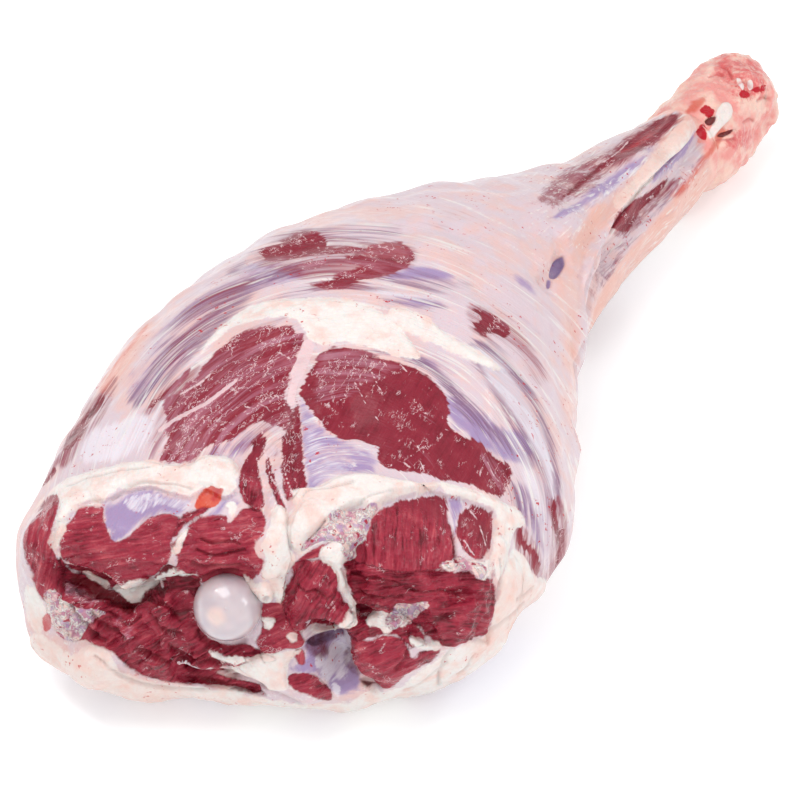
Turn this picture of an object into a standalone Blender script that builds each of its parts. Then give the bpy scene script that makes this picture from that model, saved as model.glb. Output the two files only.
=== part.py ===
# Raw leg of lamb: one piece of meat with the thigh bone's ball showing in the cut and the hock at the far end

import math

import bmesh
import bpy
import numpy as np

MM = 0.001
TURN = 2 * math.pi

# Lengths are in millimetres. The leg lies along Y, cut end at -Y, hock at +Y, resting on z = 0.
MIDLINE_X = 4.2
MIDLINE_Y = 3.0

# Cross-sections of the meat: y, yaw in degrees, left x, right x, centre x,
# bottom z, top z, centre z, squareness of the upper half, squareness of the lower half
MEAT = np.array([
    [-164.8, 24.0, -79.0, 92.1, 0.0, -1.2, 88.4, 39.5, 2.3, 2.8],
    [-122.5, 20.0, -91.2, 89.3, -3.8, -1.6, 98.7, 41.4, 2.1, 2.7],
    [-84.9, 15.0, -97.8, 74.3, -9.4, -1.6, 101.5, 42.3, 2.1, 2.6],
    [-47.3, 10.0, -95.9, 57.3, -13.2, -1.6, 97.8, 41.4, 2.1, 2.5],
    [-9.7, 5.0, -85.5, 41.4, -15.0, -0.8, 89.3, 39.5, 2.1, 2.4],
    [23.2, 2.0, -70.5, 29.1, -13.2, 1.2, 79.0, 37.6, 2.1, 2.3],
    [56.1, 0.0, -53.0, 21.6, -8.5, 3.6, 66.0, 34.8, 2.1, 2.2],
    [89.0, 0.0, -38.5, 18.8, -5.6, 5.6, 56.0, 31.0, 2.1, 2.1],
    [121.9, 0.0, -28.5, 17.9, -2.8, 6.6, 49.5, 28.2, 2.1, 2.1],
    [146.0, 0.0, -23.5, 16.6, -1.0, 6.8, 46.0, 26.8, 2.1, 2.1],
    [159.0, 0.0, -21.5, 16.6, -1.0, 6.4, 44.8, 26.0, 2.1, 2.1],
])
FACE_DEPTH = 44.0
FACE_ROUND = 2.6
HOCK_ROUND = 5.0
AROUND = 72
FACE_ROWS = 18
BODY_ROWS = 42
HOCK_ROWS = 3

# Ball of the thigh bone, in the plane of the cut
BALL_X = 0.0
BALL_Z = 57.5
BALL_RADIUS = 11.4
BALL_SINK = 2.5
BONE_GAP = 0.35

# Shank bone and hock, same columns as the meat
SHANK = np.array([
    [40.0, 0.0, -25.0, -3.0, -14.0, 32.0, 52.0, 42.0, 2.0, 2.0],
    [75.0, 0.0, -17.0, 1.0, -8.0, 27.0, 45.0, 36.0, 2.0, 2.0],
    [115.0, 0.0, -12.0, 6.0, -3.0, 20.0, 38.0, 29.0, 2.0, 2.0],
    [145.0, 0.0, -14.0, 9.0, -1.0, 14.0, 38.0, 26.0, 2.0, 2.0],
    [158.0, -3.0, -17.5, 12.5, -0.5, 10.0, 41.0, 25.5, 2.0, 2.0],
    [168.0, -6.0, -20.0, 16.0, 0.0, 6.5, 44.0, 25.0, 2.1, 2.1],
    [187.7, -13.0, -21.0, 18.0, 0.5, 4.0, 46.5, 24.5, 2.2, 2.1],
    [203.0, -18.0, -19.5, 17.0, 0.5, 4.8, 46.5, 25.0, 2.2, 2.1],
])
SHANK_ROUND = 16.5
SHANK_AROUND = 28

# Thigh bone: y, x, z and radius of the round shaft from the neck to the knee
THIGH = ((-166.0, 6.0, 50.0, 9.5), (-140.0, 6.0, 43.0, 11.5), (-110.0, 2.0, 42.0, 10.0),
         (-60.0, -5.0, 43.0, 9.5), (-15.0, -11.0, 43.0, 11.0), (8.0, -13.0, 43.0, 14.0),
         (21.0, -14.0, 42.0, 11.0))

# Relief of the cut face: x and z along a line in the plane of the cut, half width, height
FACE_RELIEF = {
    "upper left lobe": (((-63, 66), (-52, 72), (-28, 75), (-18, 79)), 9.0, 6.0),
    "left edge": (((-69, 57),), 9.0, 3.0),
    "upper middle lobe": (((-11, 76), (8, 78)), 8.0, 4.0),
    "fat column": (((15, 86), (13, 75), (13, 67)), 5.0, 4.5),
    "fat clump": (((27, 81), (35, 78)), 8.0, 4.0),
    "inner muscle": (((28, 66),), 8.5, 3.0),
    "outer muscle": (((58, 74), (76, 60)), 12.0, 4.5),
    "outer muscle, low": (((72, 49),), 10.0, 3.5),
    "round lobe": (((53, 41),), 10.5, 6.0),
    "small round lobe": (((27, 27),), 7.5, 5.5),
    "flap over the pocket": (((26, 55), (37, 58)), 4.0, 4.0),
    "middle fat flap": (((2, 42), (11, 38), (16, 31)), 5.0, 4.5),
    "low fat lump": (((-47, 28),), 9.0, 4.5),
    "crag a": (((-48, 48),), 6.0, 3.5),
    "crag b": (((-33, 44),), 6.0, 4.0),
    "crag c": (((-21, 54), (-20, 47)), 5.5, 4.5),
    "crag d": (((-24, 36),), 6.0, 3.5),
    "crag e": (((-9, 37),), 5.5, 3.5),
    "crag f": (((-58, 42),), 6.0, 3.0),
    "crag g": (((-38, 33),), 5.5, 3.0),
    "crevice": (((-57, 58), (-45, 59), (-36, 55), (-27, 60)), 4.5, -11.0),
    "under the middle lobe": (((-25, 66), (-13, 70)), 4.0, -4.0),
    "inner seam": (((18, 70), (19, 57)), 3.5, -4.0),
    "outer seam": (((40, 77), (41, 62), (46, 56)), 4.0, -5.0),
    "lower seam": (((47, 56), (61, 55), (67, 46)), 4.0, -4.0),
    "pocket": (((32, 52), (36, 42), (39, 30)), 6.0, -15.0),
    "hole": (((47, 28),), 4.0, -6.0),
    "low groove": (((-14, 28), (0, 26), (8, 24)), 4.0, -7.0),
    "socket": (((0, 57),), 15.0, -4.5),
    "left rim": (((-64, 20), (-36, 16)), 14.0, 4.0),
    "right rim": (((58, 16), (84, 28)), 16.0, -4.0),
}

# Relief of the outside: y along the leg and angle round it in degrees, half width, height
BODY_RELIEF = {
    "central muscle": (((-146, 62), (-118, 55)), 20.0, 2.5),
    "left muscle": (((-154, 104), (-114, 100)), 14.0, 2.5),
    "seam": (((-166, 88), (-120, 88)), 7.5, -3.0),
    "right muscle": (((-155, 8), (-122, 10)), 12.0, 2.0),
    "slit": (((-10, 42), (14, 42)), 4.0, -3.0),
    "sheath edge": (((-19, 15), (14, 17), (28, 25), (65, 33), (108, 48), (150, 66)), 4.0, 2.5),
    "under the sheath": (((-19, 4), (14, 8), (28, 14), (65, 21), (108, 35), (150, 54)), 5.0, -3.5),
    "shank muscle": (((42, 75), (155, 105)), 8.0, 1.5),
    "tendon": (((28, 50), (152, 84)), 5.0, 3.0),
    "lower shank": (((70, 14), (120, 18)), 10.0, 2.0),
}

COLOURS = {
    "meat": ((0.28, 0.045, 0.05), 0.38),
    "thigh_bone": ((0.72, 0.62, 0.68), 0.25),
    "shank_bone": ((0.75, 0.42, 0.38), 0.35),
}


def smooth(stations, y):
    """One row of values at y, on a cubic curve through the stations."""
    at = stations[:, 0]
    values = stations
    step = np.diff(at)[:, None]
    slope = np.diff(values, axis=0) / step
    before, after = slope[:-1], slope[1:]
    even = np.where(before * after > 0, 2 * before * after / (before + after + 1e-12), 0)
    centred = (before * step[1:] + after * step[:-1]) / (step[1:] + step[:-1])
    tangent = np.vstack([slope[:1], 0.5 * (even + centred), slope[-1:]])
    i = int(np.clip(np.searchsorted(at, y) - 1, 0, len(at) - 2))
    h = at[i + 1] - at[i]
    t = (y - at[i]) / h
    row = (2 * t**3 - 3 * t**2 + 1) * values[i] + (t**3 - 2 * t**2 + t) * h * tangent[i]
    return row + (3 * t**2 - 2 * t**3) * values[i + 1] + (t**3 - t**2) * h * tangent[i + 1]


def outline(row, angle):
    """Points of one cross-section, a rounded box with its own half widths above, below, left and right."""
    _, _, left, right, middle, bottom, top, height, upper, lower = row
    c, s = np.cos(angle), np.sin(angle)
    power = 2 / np.where(s >= 0, upper, lower)
    wide = np.where(c >= 0, right - middle, middle - left)
    tall = np.where(s >= 0, top - height, height - bottom)
    return (middle + wide * np.sign(c) * np.abs(c) ** power,
            height + tall * np.sign(s) * np.abs(s) ** power)


def placed(row, x, z, push):
    """Points of a cross-section's plane in space, turned by its yaw and pushed along its normal."""
    yaw = math.radians(row[1])
    return np.stack([MIDLINE_X + math.cos(yaw) * x - math.sin(yaw) * push,
                     MIDLINE_Y + row[0] + math.sin(yaw) * x + math.cos(yaw) * push,
                     z + 0 * push], axis=-1)


def face_points(x, z):
    """Points on the domed cut face."""
    row = MEAT[0]
    x, z = np.asarray(x, float), np.asarray(z, float)
    wide = np.where(x >= row[4], row[3] - row[4], row[4] - row[2])
    tall = np.where(z >= row[7], row[6] - row[7], row[7] - row[5])
    power = np.where(z >= row[7], row[8], row[9])
    share = (np.abs((x - row[4]) / wide) ** power + np.abs((z - row[7]) / tall) ** power) ** (1 / power)
    push = -FACE_DEPTH * (1 - np.minimum(share, 1) ** FACE_ROUND) ** (1 / FACE_ROUND)
    return placed(row, x, z, push)


def body_point(y, degrees):
    """A point on the outside of the leg."""
    row = smooth(MEAT, y)
    x, z = outline(row, np.array([math.radians(degrees)]))
    return placed(row, x, z, 0.0)[0]


def ring_rows(stations, count, around):
    """Rings of a loft along the leg."""
    angle = np.linspace(0, TURN, around, endpoint=False)
    rings = []
    for y in np.linspace(stations[0, 0], stations[-1, 0], count + 1):
        row = smooth(stations, y)
        rings.append(placed(row, *outline(row, angle), 0.0))
    return rings


def end_rings(row, depth, count, around):
    """Rings of a round end, from the rim inwards and outwards along the normal."""
    angle = np.linspace(0, TURN, around, endpoint=False)
    x, z = outline(row, angle)
    rings = []
    for i in range(1, count + 1):
        turn = 0.25 * TURN * i / (count + 1)
        share = math.cos(turn)
        rings.append(placed(row, row[4] + share * (x - row[4]), row[7] + share * (z - row[7]),
                            depth * math.sin(turn)))
    return rings


def face_rings():
    """Rings of the cut face, from close round the ball out to the rim."""
    row = MEAT[0]
    angle = np.linspace(0, TURN, AROUND, endpoint=False)
    x, z = outline(row, angle)
    rings = []
    for i in range(1, FACE_ROWS):
        q = i / FACE_ROWS
        share = 0.3 * q + 0.7 * math.sin(0.25 * TURN * q)
        rings.append(face_points(BALL_X + share * (x - BALL_X), BALL_Z + share * (z - BALL_Z)))
    return rings


def distances(points, line):
    """Shortest distance from each point to a line through the given places."""
    line = np.asarray(line, float)
    if len(line) == 1:
        return np.linalg.norm(points - line[0], axis=-1)
    best = np.full(points.shape[:-1], 1e9)
    for a, b in zip(line[:-1], line[1:]):
        along = np.clip((points - a) @ (b - a) / ((b - a) @ (b - a) + 1e-9), 0, 1)
        best = np.minimum(best, np.linalg.norm(points - a - along[..., None] * (b - a), axis=-1))
    return best


def relief(points):
    """Height of the lobes, seams and folds over the smooth leg."""
    height = np.zeros(points.shape[:-1])
    lines = [(face_points(*np.array(line).T), width, rise) for line, width, rise in FACE_RELIEF.values()]
    for line, width, rise in BODY_RELIEF.values():
        dense = [np.linspace(a, b, 9) for a, b in zip(line[:-1], line[1:])]
        lines.append(([body_point(*place) for place in np.concatenate(dense)], width, rise))
    for line, width, rise in lines:
        height += rise * np.exp(-(distances(points, line) / width) ** 2.6)
    for wave, (length, size) in enumerate(((47.0, 0.7), (29.0, 0.5), (17.0, 0.35))):
        turn = np.array([0.8 + wave, 2.1 * wave, 1.3 - wave])
        height += size * np.prod(np.sin(TURN * points / length + turn), axis=-1) * 2
    return height


def normals(grid, first, last):
    """Outward directions of a closed grid of rings with a pole at each end."""
    full = np.concatenate([np.broadcast_to(first, grid[:1].shape), grid,
                           np.broadcast_to(last, grid[:1].shape)])
    along = full[2:] - full[:-2]
    round_ = np.roll(grid, -1, axis=1) - np.roll(grid, 1, axis=1)
    direction = np.cross(along, round_)
    return direction / np.linalg.norm(direction, axis=-1, keepdims=True)


def mesh_object(name, vertices, faces, collection):
    mesh = bpy.data.meshes.new(name)
    mesh.from_pydata((np.asarray(vertices) * MM).tolist(), [], faces)
    mesh.validate()
    tidy = bmesh.new()
    tidy.from_mesh(mesh)
    bmesh.ops.recalc_face_normals(tidy, faces=tidy.faces)
    bmesh.ops.triangulate(tidy, faces=[f for f in tidy.faces if len(f.verts) > 3])
    tidy.to_mesh(mesh)
    tidy.free()
    obj = bpy.data.objects.new(name, mesh)
    collection.objects.link(obj)
    return obj


def loft(name, grid, first, last, collection):
    """A closed skin over rings, with a pole point at each end."""
    rows, around = grid.shape[:2]
    vertices = np.vstack([grid.reshape(-1, 3), first, last])
    start, end = rows * around, rows * around + 1
    faces = []
    for j in range(around):
        k = (j + 1) % around
        faces.append((start, j, k))
        faces.append((end, (rows - 1) * around + k, (rows - 1) * around + j))
        for i in range(rows - 1):
            faces.append((i * around + j, (i + 1) * around + j, (i + 1) * around + k, i * around + k))
    return mesh_object(name, vertices, faces, collection)


def make_meat(collection):
    rings = face_rings() + ring_rows(MEAT, BODY_ROWS, AROUND)
    rings += end_rings(MEAT[-1], HOCK_ROUND, HOCK_ROWS, AROUND)
    grid = np.array(rings)
    first = face_points(BALL_X, BALL_Z)
    last = placed(MEAT[-1], MEAT[-1, 4], MEAT[-1, 7], HOCK_ROUND)
    out = normals(grid, first, last)
    height = relief(grid)
    grid = grid + height[..., None] * out
    first = first + relief(first[None])[0] * out[0].mean(axis=0)
    grid[..., 2] = np.maximum(grid[..., 2], 0)
    return loft("leg_meat", grid, first, last, collection)


def shank_grid(gap):
    """Rings of the shank bone and hock, grown outwards by the gap."""
    rings = [placed(SHANK[0], SHANK[0, 4], SHANK[0, 7], -6.0) * 0.5 + 0.5 * ring
             for ring in ring_rows(SHANK, 1, SHANK_AROUND)[:1]]
    rings += ring_rows(SHANK, 20, SHANK_AROUND)
    rings += end_rings(SHANK[-1], SHANK_ROUND, 6, SHANK_AROUND)
    grid = np.array(rings)
    first = placed(SHANK[0], SHANK[0, 4], SHANK[0, 7], -6.0)
    last = placed(SHANK[-1], SHANK[-1, 4], SHANK[-1, 7], SHANK_ROUND)
    out = normals(grid, first, last)
    knobs = (((13, 196, 43), 11, 3.5), ((-9, 190, 45), 9, 2.5), ((20, 214, 25), 9, 3.0),
             ((-2, 220, 33), 8, 2.5), ((22, 192, 12), 8, 3.0), ((-12, 200, 10), 8, 2.0),
             ((4, 214, 14), 6, -3.0), ((8, 205, 46), 6, -3.0), ((-17, 180, 30), 7, -2.0),
             ((-13, 206, 28), 7, 2.0))
    height = np.zeros(grid.shape[:-1])
    for place, width, rise in knobs:
        centre = np.array(place, float) + (MIDLINE_X, MIDLINE_Y, 0)
        height += rise * np.exp(-(np.linalg.norm(grid - centre, axis=-1) / width) ** 2.4)
    grid = grid + (height + gap)[..., None] * out
    return grid, first - (0, gap, 0), last + (0, gap, 0)


def make_shank(name, gap, collection):
    grid, first, last = shank_grid(gap)
    return loft(name, grid, first, last, collection)


def ball_centre():
    yaw = math.radians(MEAT[0, 1])
    return face_points(BALL_X, BALL_Z) + BALL_SINK * np.array([-math.sin(yaw), math.cos(yaw), 0])


def tube(name, places, radii, around, collection):
    """A round bar through the given places, closed by a rounded point at each end."""
    places = np.asarray(places, float)
    angle = np.linspace(0, TURN, around, endpoint=False)
    ahead = np.gradient(places, axis=0)
    ahead /= np.linalg.norm(ahead, axis=1, keepdims=True)
    side = np.cross(ahead, (0, 0, 1.0))
    side /= np.linalg.norm(side, axis=1, keepdims=True)
    up = np.cross(side, ahead)
    radii = np.asarray(radii, float)[:, None, None]
    grid = places[:, None] + radii * (np.cos(angle)[:, None] * side[:, None]
                                      + np.sin(angle)[:, None] * up[:, None])
    first = places[0] - ahead[0] * 0.5 * radii[0, 0, 0]
    last = places[-1] + ahead[-1] * 0.5 * radii[-1, 0, 0]
    return loft(name, grid, first, last, collection)


def make_thigh(name, gap, collection, parts):
    """Ball, neck and shaft of the thigh bone, joined."""
    centre = ball_centre()
    bpy.ops.mesh.primitive_uv_sphere_add(segments=28, ring_count=16, radius=(BALL_RADIUS + gap) * MM,
                                         location=centre * MM)
    ball = bpy.context.object
    ball.name = name
    for owner in list(ball.users_collection):
        owner.objects.unlink(ball)
    collection.objects.link(ball)
    shaft = np.array(THIGH)
    points = shaft[:, [1, 0, 2]] + (MIDLINE_X, MIDLINE_Y, 0)
    radii = shaft[:, 3] + gap
    t = np.linspace(0, len(points) - 1, 13)
    index = np.arange(len(points))
    points = np.stack([np.interp(t, index, points[:, k]) for k in range(3)], axis=1)
    radii = np.interp(t, index, radii)
    bar = tube(name + "_shaft", points, radii, 16, parts)
    neck_places = np.linspace(centre, points[2], 6)
    neck = tube(name + "_neck", neck_places, np.array([8.4, 8.4, 8.5, 8.8, 9.4, 9.0]) + gap, 16, parts)
    for extra in (bar, neck):
        join(ball, extra, "UNION")
    return ball


def join(target, other, operation):
    modifier = target.modifiers.new(operation.title() + " " + other.name, "BOOLEAN")
    modifier.operation = operation
    modifier.solver = "EXACT"
    modifier.object = other


def material(name, colour, roughness):
    made = bpy.data.materials.new(name)
    made.use_nodes = True
    shader = made.node_tree.nodes["Principled BSDF"]
    shader.inputs["Base Color"].default_value = (*colour, 1.0)
    shader.inputs["Roughness"].default_value = roughness
    shader.inputs["Metallic"].default_value = 0.0
    return made


def main():
    for obj in list(bpy.data.objects):
        bpy.data.objects.remove(obj)
    pieces = bpy.data.collections.new("Leg of lamb")
    cutters = bpy.data.collections.new("Cutters")
    for collection in (pieces, cutters):
        bpy.context.scene.collection.children.link(collection)
    cutters.hide_render = True
    meat = make_meat(pieces)
    thigh = make_thigh("thigh_bone", 0.0, pieces, cutters)
    shank = make_shank("shank_bone", 0.0, pieces)
    thigh_room = make_thigh("thigh_room", BONE_GAP, cutters, cutters)
    shank_room = make_shank("shank_room", BONE_GAP, cutters)
    for room in (thigh_room, shank_room):
        join(meat, room, "DIFFERENCE")
    for helper in cutters.objects:
        helper.hide_render = True
        helper.display_type = "WIRE"
    for obj, key in ((meat, "meat"), (thigh, "thigh_bone"), (shank, "shank_bone")):
        colour, roughness = COLOURS[key]
        obj.data.materials.append(material(key, colour, roughness))


main()
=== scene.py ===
"""Raw leg of lamb on a pale table.

The pieces are the cut end with the ball of the thigh bone, the thigh, the shank and the hock.
"""

import math

import bpy
import numpy as np
from bpy.props import FloatProperty, FloatVectorProperty, PointerProperty
from mathutils import Matrix, Vector


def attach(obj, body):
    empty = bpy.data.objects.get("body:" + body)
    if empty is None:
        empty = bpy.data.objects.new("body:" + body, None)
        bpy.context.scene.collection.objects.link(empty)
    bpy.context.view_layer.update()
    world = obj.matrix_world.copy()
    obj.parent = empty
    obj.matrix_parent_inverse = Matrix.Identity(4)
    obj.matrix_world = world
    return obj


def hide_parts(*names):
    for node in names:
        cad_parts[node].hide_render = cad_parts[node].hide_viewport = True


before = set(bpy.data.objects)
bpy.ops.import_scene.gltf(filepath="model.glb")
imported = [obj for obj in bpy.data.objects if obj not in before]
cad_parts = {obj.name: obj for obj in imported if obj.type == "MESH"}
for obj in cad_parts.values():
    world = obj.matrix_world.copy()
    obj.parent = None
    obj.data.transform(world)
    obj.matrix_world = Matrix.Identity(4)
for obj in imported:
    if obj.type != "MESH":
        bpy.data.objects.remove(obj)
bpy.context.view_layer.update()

bl_info = {
    "name": "Leg of lamb",
    "version": (1, 0, 0),
    "blender": (4, 5, 0),
    "location": "3D View > Sidebar > Leg of lamb",
    "description": "Builds a raw leg of lamb with its stage",
    "category": "Add Mesh",
}

MM = 0.001
TURN = 2 * math.pi

# Lengths are in millimetres up to the mesh. Outlines and lines as the viewer sees them are in picture points
# from the top left, x and y in turn.

# The viewer's place: degrees round and above the leg, distance, aim, focal length in picture points
VIEW_ROUND, VIEW_ABOVE, VIEW_FAR = 31.5, 38.0, 1175.0
VIEW_AIM = np.array([4.2, -63.1, 47.0])
VIEW_FOCAL = 3250.0
PICTURE = 800.0
SENSOR = 36.0

# Picture points to a millimetre at the aim
SCALE = VIEW_FOCAL / VIEW_FAR

# Share of each colour that is left for the bright light
HIGH_KEY = 0.78

# The origin of the cross-sections
MIDLINE = np.array([4.2, 3.0, 0.0])

# The centre that the streaks of the membrane curve round, as the viewer sees it
SWEEP_CENTRE = (345, 537)

# Cosine towards the viewer at which the paint starts and is full, and a distance far outside any outline
EDGE_ON, FACE_ON = -0.03, 0.11
FAR_OUT = -6.0

# Cross-sections of the meat: y, yaw in degrees, left x, right x, centre x,
# bottom z, top z, centre z, squareness of the upper half, squareness of the lower half
MEAT = np.array([
    [-164.8, 24.0, -79.0, 92.1, 0.0, -1.2, 88.4, 39.5, 2.3, 2.8],
    [-122.5, 20.0, -91.2, 89.3, -3.8, -1.6, 98.7, 41.4, 2.1, 2.7],
    [-84.9, 15.0, -97.8, 74.3, -9.4, -1.6, 101.5, 42.3, 2.1, 2.6],
    [-47.3, 10.0, -95.9, 57.3, -13.2, -1.6, 97.8, 41.4, 2.1, 2.5],
    [-9.7, 5.0, -85.5, 41.4, -15.0, -0.8, 89.3, 39.5, 2.1, 2.4],
    [23.2, 2.0, -70.5, 29.1, -13.2, 1.2, 79.0, 37.6, 2.1, 2.3],
    [56.1, 0.0, -53.0, 21.6, -8.5, 3.6, 66.0, 34.8, 2.1, 2.2],
    [89.0, 0.0, -38.5, 18.8, -5.6, 5.6, 56.0, 31.0, 2.1, 2.1],
    [121.9, 0.0, -28.5, 17.9, -2.8, 6.6, 49.5, 28.2, 2.1, 2.1],
    [146.0, 0.0, -23.5, 16.6, -1.0, 6.8, 46.0, 26.8, 2.1, 2.1],
    [159.0, 0.0, -21.5, 16.6, -1.0, 6.4, 44.8, 26.0, 2.1, 2.1],
])

# The dome of the cut: its depth and the power of its curve; the round end inside the hock
FACE_DEPTH, FACE_ROUND, HOCK_ROUND = 44.0, 2.6, 5.0

# Shank bone and hock, same columns as the meat
HOCK = np.array([
    [145.0, 0.0, -14.0, 9.0, -1.0, 14.0, 38.0, 26.0, 2.0, 2.0],
    [158.0, -3.0, -17.5, 12.5, -0.5, 10.0, 41.0, 25.5, 2.0, 2.0],
    [168.0, -6.0, -20.0, 16.0, 0.0, 6.5, 44.0, 25.0, 2.1, 2.1],
    [187.7, -13.0, -21.0, 18.0, 0.5, 4.0, 46.5, 24.5, 2.2, 2.1],
    [203.0, -18.0, -19.5, 17.0, 0.5, 4.8, 46.5, 25.0, 2.2, 2.1],
])
HOCK_END = 16.5

# The ball of the thigh bone: its place in the cut, radius, and how deep it sits
BALL_X, BALL_Z, BALL_RADIUS, BALL_SINK = 0.0, 57.5, 11.4, 2.5

# Relief of the cut face: x and z along a line in the plane of the cut, half width, height
FACE_RELIEF = {
    "upper left lobe": (((-63, 66), (-52, 72), (-28, 75), (-18, 79)), 9.0, 6.0),
    "left edge": (((-69, 57),), 9.0, 3.0),
    "upper middle lobe": (((-11, 76), (8, 78)), 8.0, 4.0),
    "fat column": (((15, 86), (13, 75), (13, 67)), 5.0, 4.5),
    "fat clump": (((27, 81), (35, 78)), 8.0, 4.0),
    "inner muscle": (((28, 66),), 8.5, 3.0),
    "outer muscle": (((58, 74), (76, 60)), 12.0, 4.5),
    "outer muscle, low": (((72, 49),), 10.0, 3.5),
    "round lobe": (((53, 41),), 10.5, 6.0),
    "small round lobe": (((27, 27),), 7.5, 5.5),
    "flap over the pocket": (((26, 55), (37, 58)), 4.0, 4.0),
    "middle fat flap": (((2, 42), (11, 38), (16, 31)), 5.0, 4.5),
    "low fat lump": (((-47, 28),), 9.0, 4.5),
    "crag a": (((-48, 48),), 6.0, 3.5),
    "crag b": (((-33, 44),), 6.0, 4.0),
    "crag c": (((-21, 54), (-20, 47)), 5.5, 4.5),
    "crag d": (((-24, 36),), 6.0, 3.5),
    "crag e": (((-9, 37),), 5.5, 3.5),
    "crag f": (((-58, 42),), 6.0, 3.0),
    "crag g": (((-38, 33),), 5.5, 3.0),
    "crevice": (((-57, 58), (-45, 59), (-36, 55), (-27, 60)), 4.5, -11.0),
    "under the middle lobe": (((-25, 66), (-13, 70)), 4.0, -4.0),
    "inner seam": (((18, 70), (19, 57)), 3.5, -4.0),
    "outer seam": (((40, 77), (41, 62), (46, 56)), 4.0, -5.0),
    "lower seam": (((47, 56), (61, 55), (67, 46)), 4.0, -4.0),
    "pocket": (((32, 52), (36, 42), (39, 30)), 6.0, -15.0),
    "hole": (((47, 28),), 4.0, -6.0),
    "low groove": (((-14, 28), (0, 26), (8, 24)), 4.0, -7.0),
    "socket": (((0, 57),), 15.0, -4.5),
    "left rim": (((-64, 20), (-36, 16)), 14.0, 4.0),
    "right rim": (((58, 16), (84, 28)), 16.0, -4.0),
}

# Relief of the outside: y along the leg and angle round it in degrees, half width, height
BODY_RELIEF = {
    "central muscle": (((-146, 62), (-118, 55)), 20.0, 2.5),
    "left muscle": (((-154, 104), (-114, 100)), 14.0, 2.5),
    "seam": (((-166, 88), (-120, 88)), 7.5, -3.0),
    "right muscle": (((-155, 8), (-122, 10)), 12.0, 2.0),
    "slit": (((-10, 42), (14, 42)), 4.0, -3.0),
    "sheath edge": (((-19, 15), (14, 17), (28, 25), (65, 33), (108, 48), (150, 66)), 4.0, 2.5),
    "under the sheath": (((-19, 4), (14, 8), (28, 14), (65, 21), (108, 35), (150, 54)), 5.0, -3.5),
    "shank muscle": (((42, 75), (155, 105)), 8.0, 1.5),
    "tendon": (((28, 50), (152, 84)), 5.0, 3.0),
    "lower shank": (((70, 14), (120, 18)), 10.0, 2.0),
}

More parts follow.
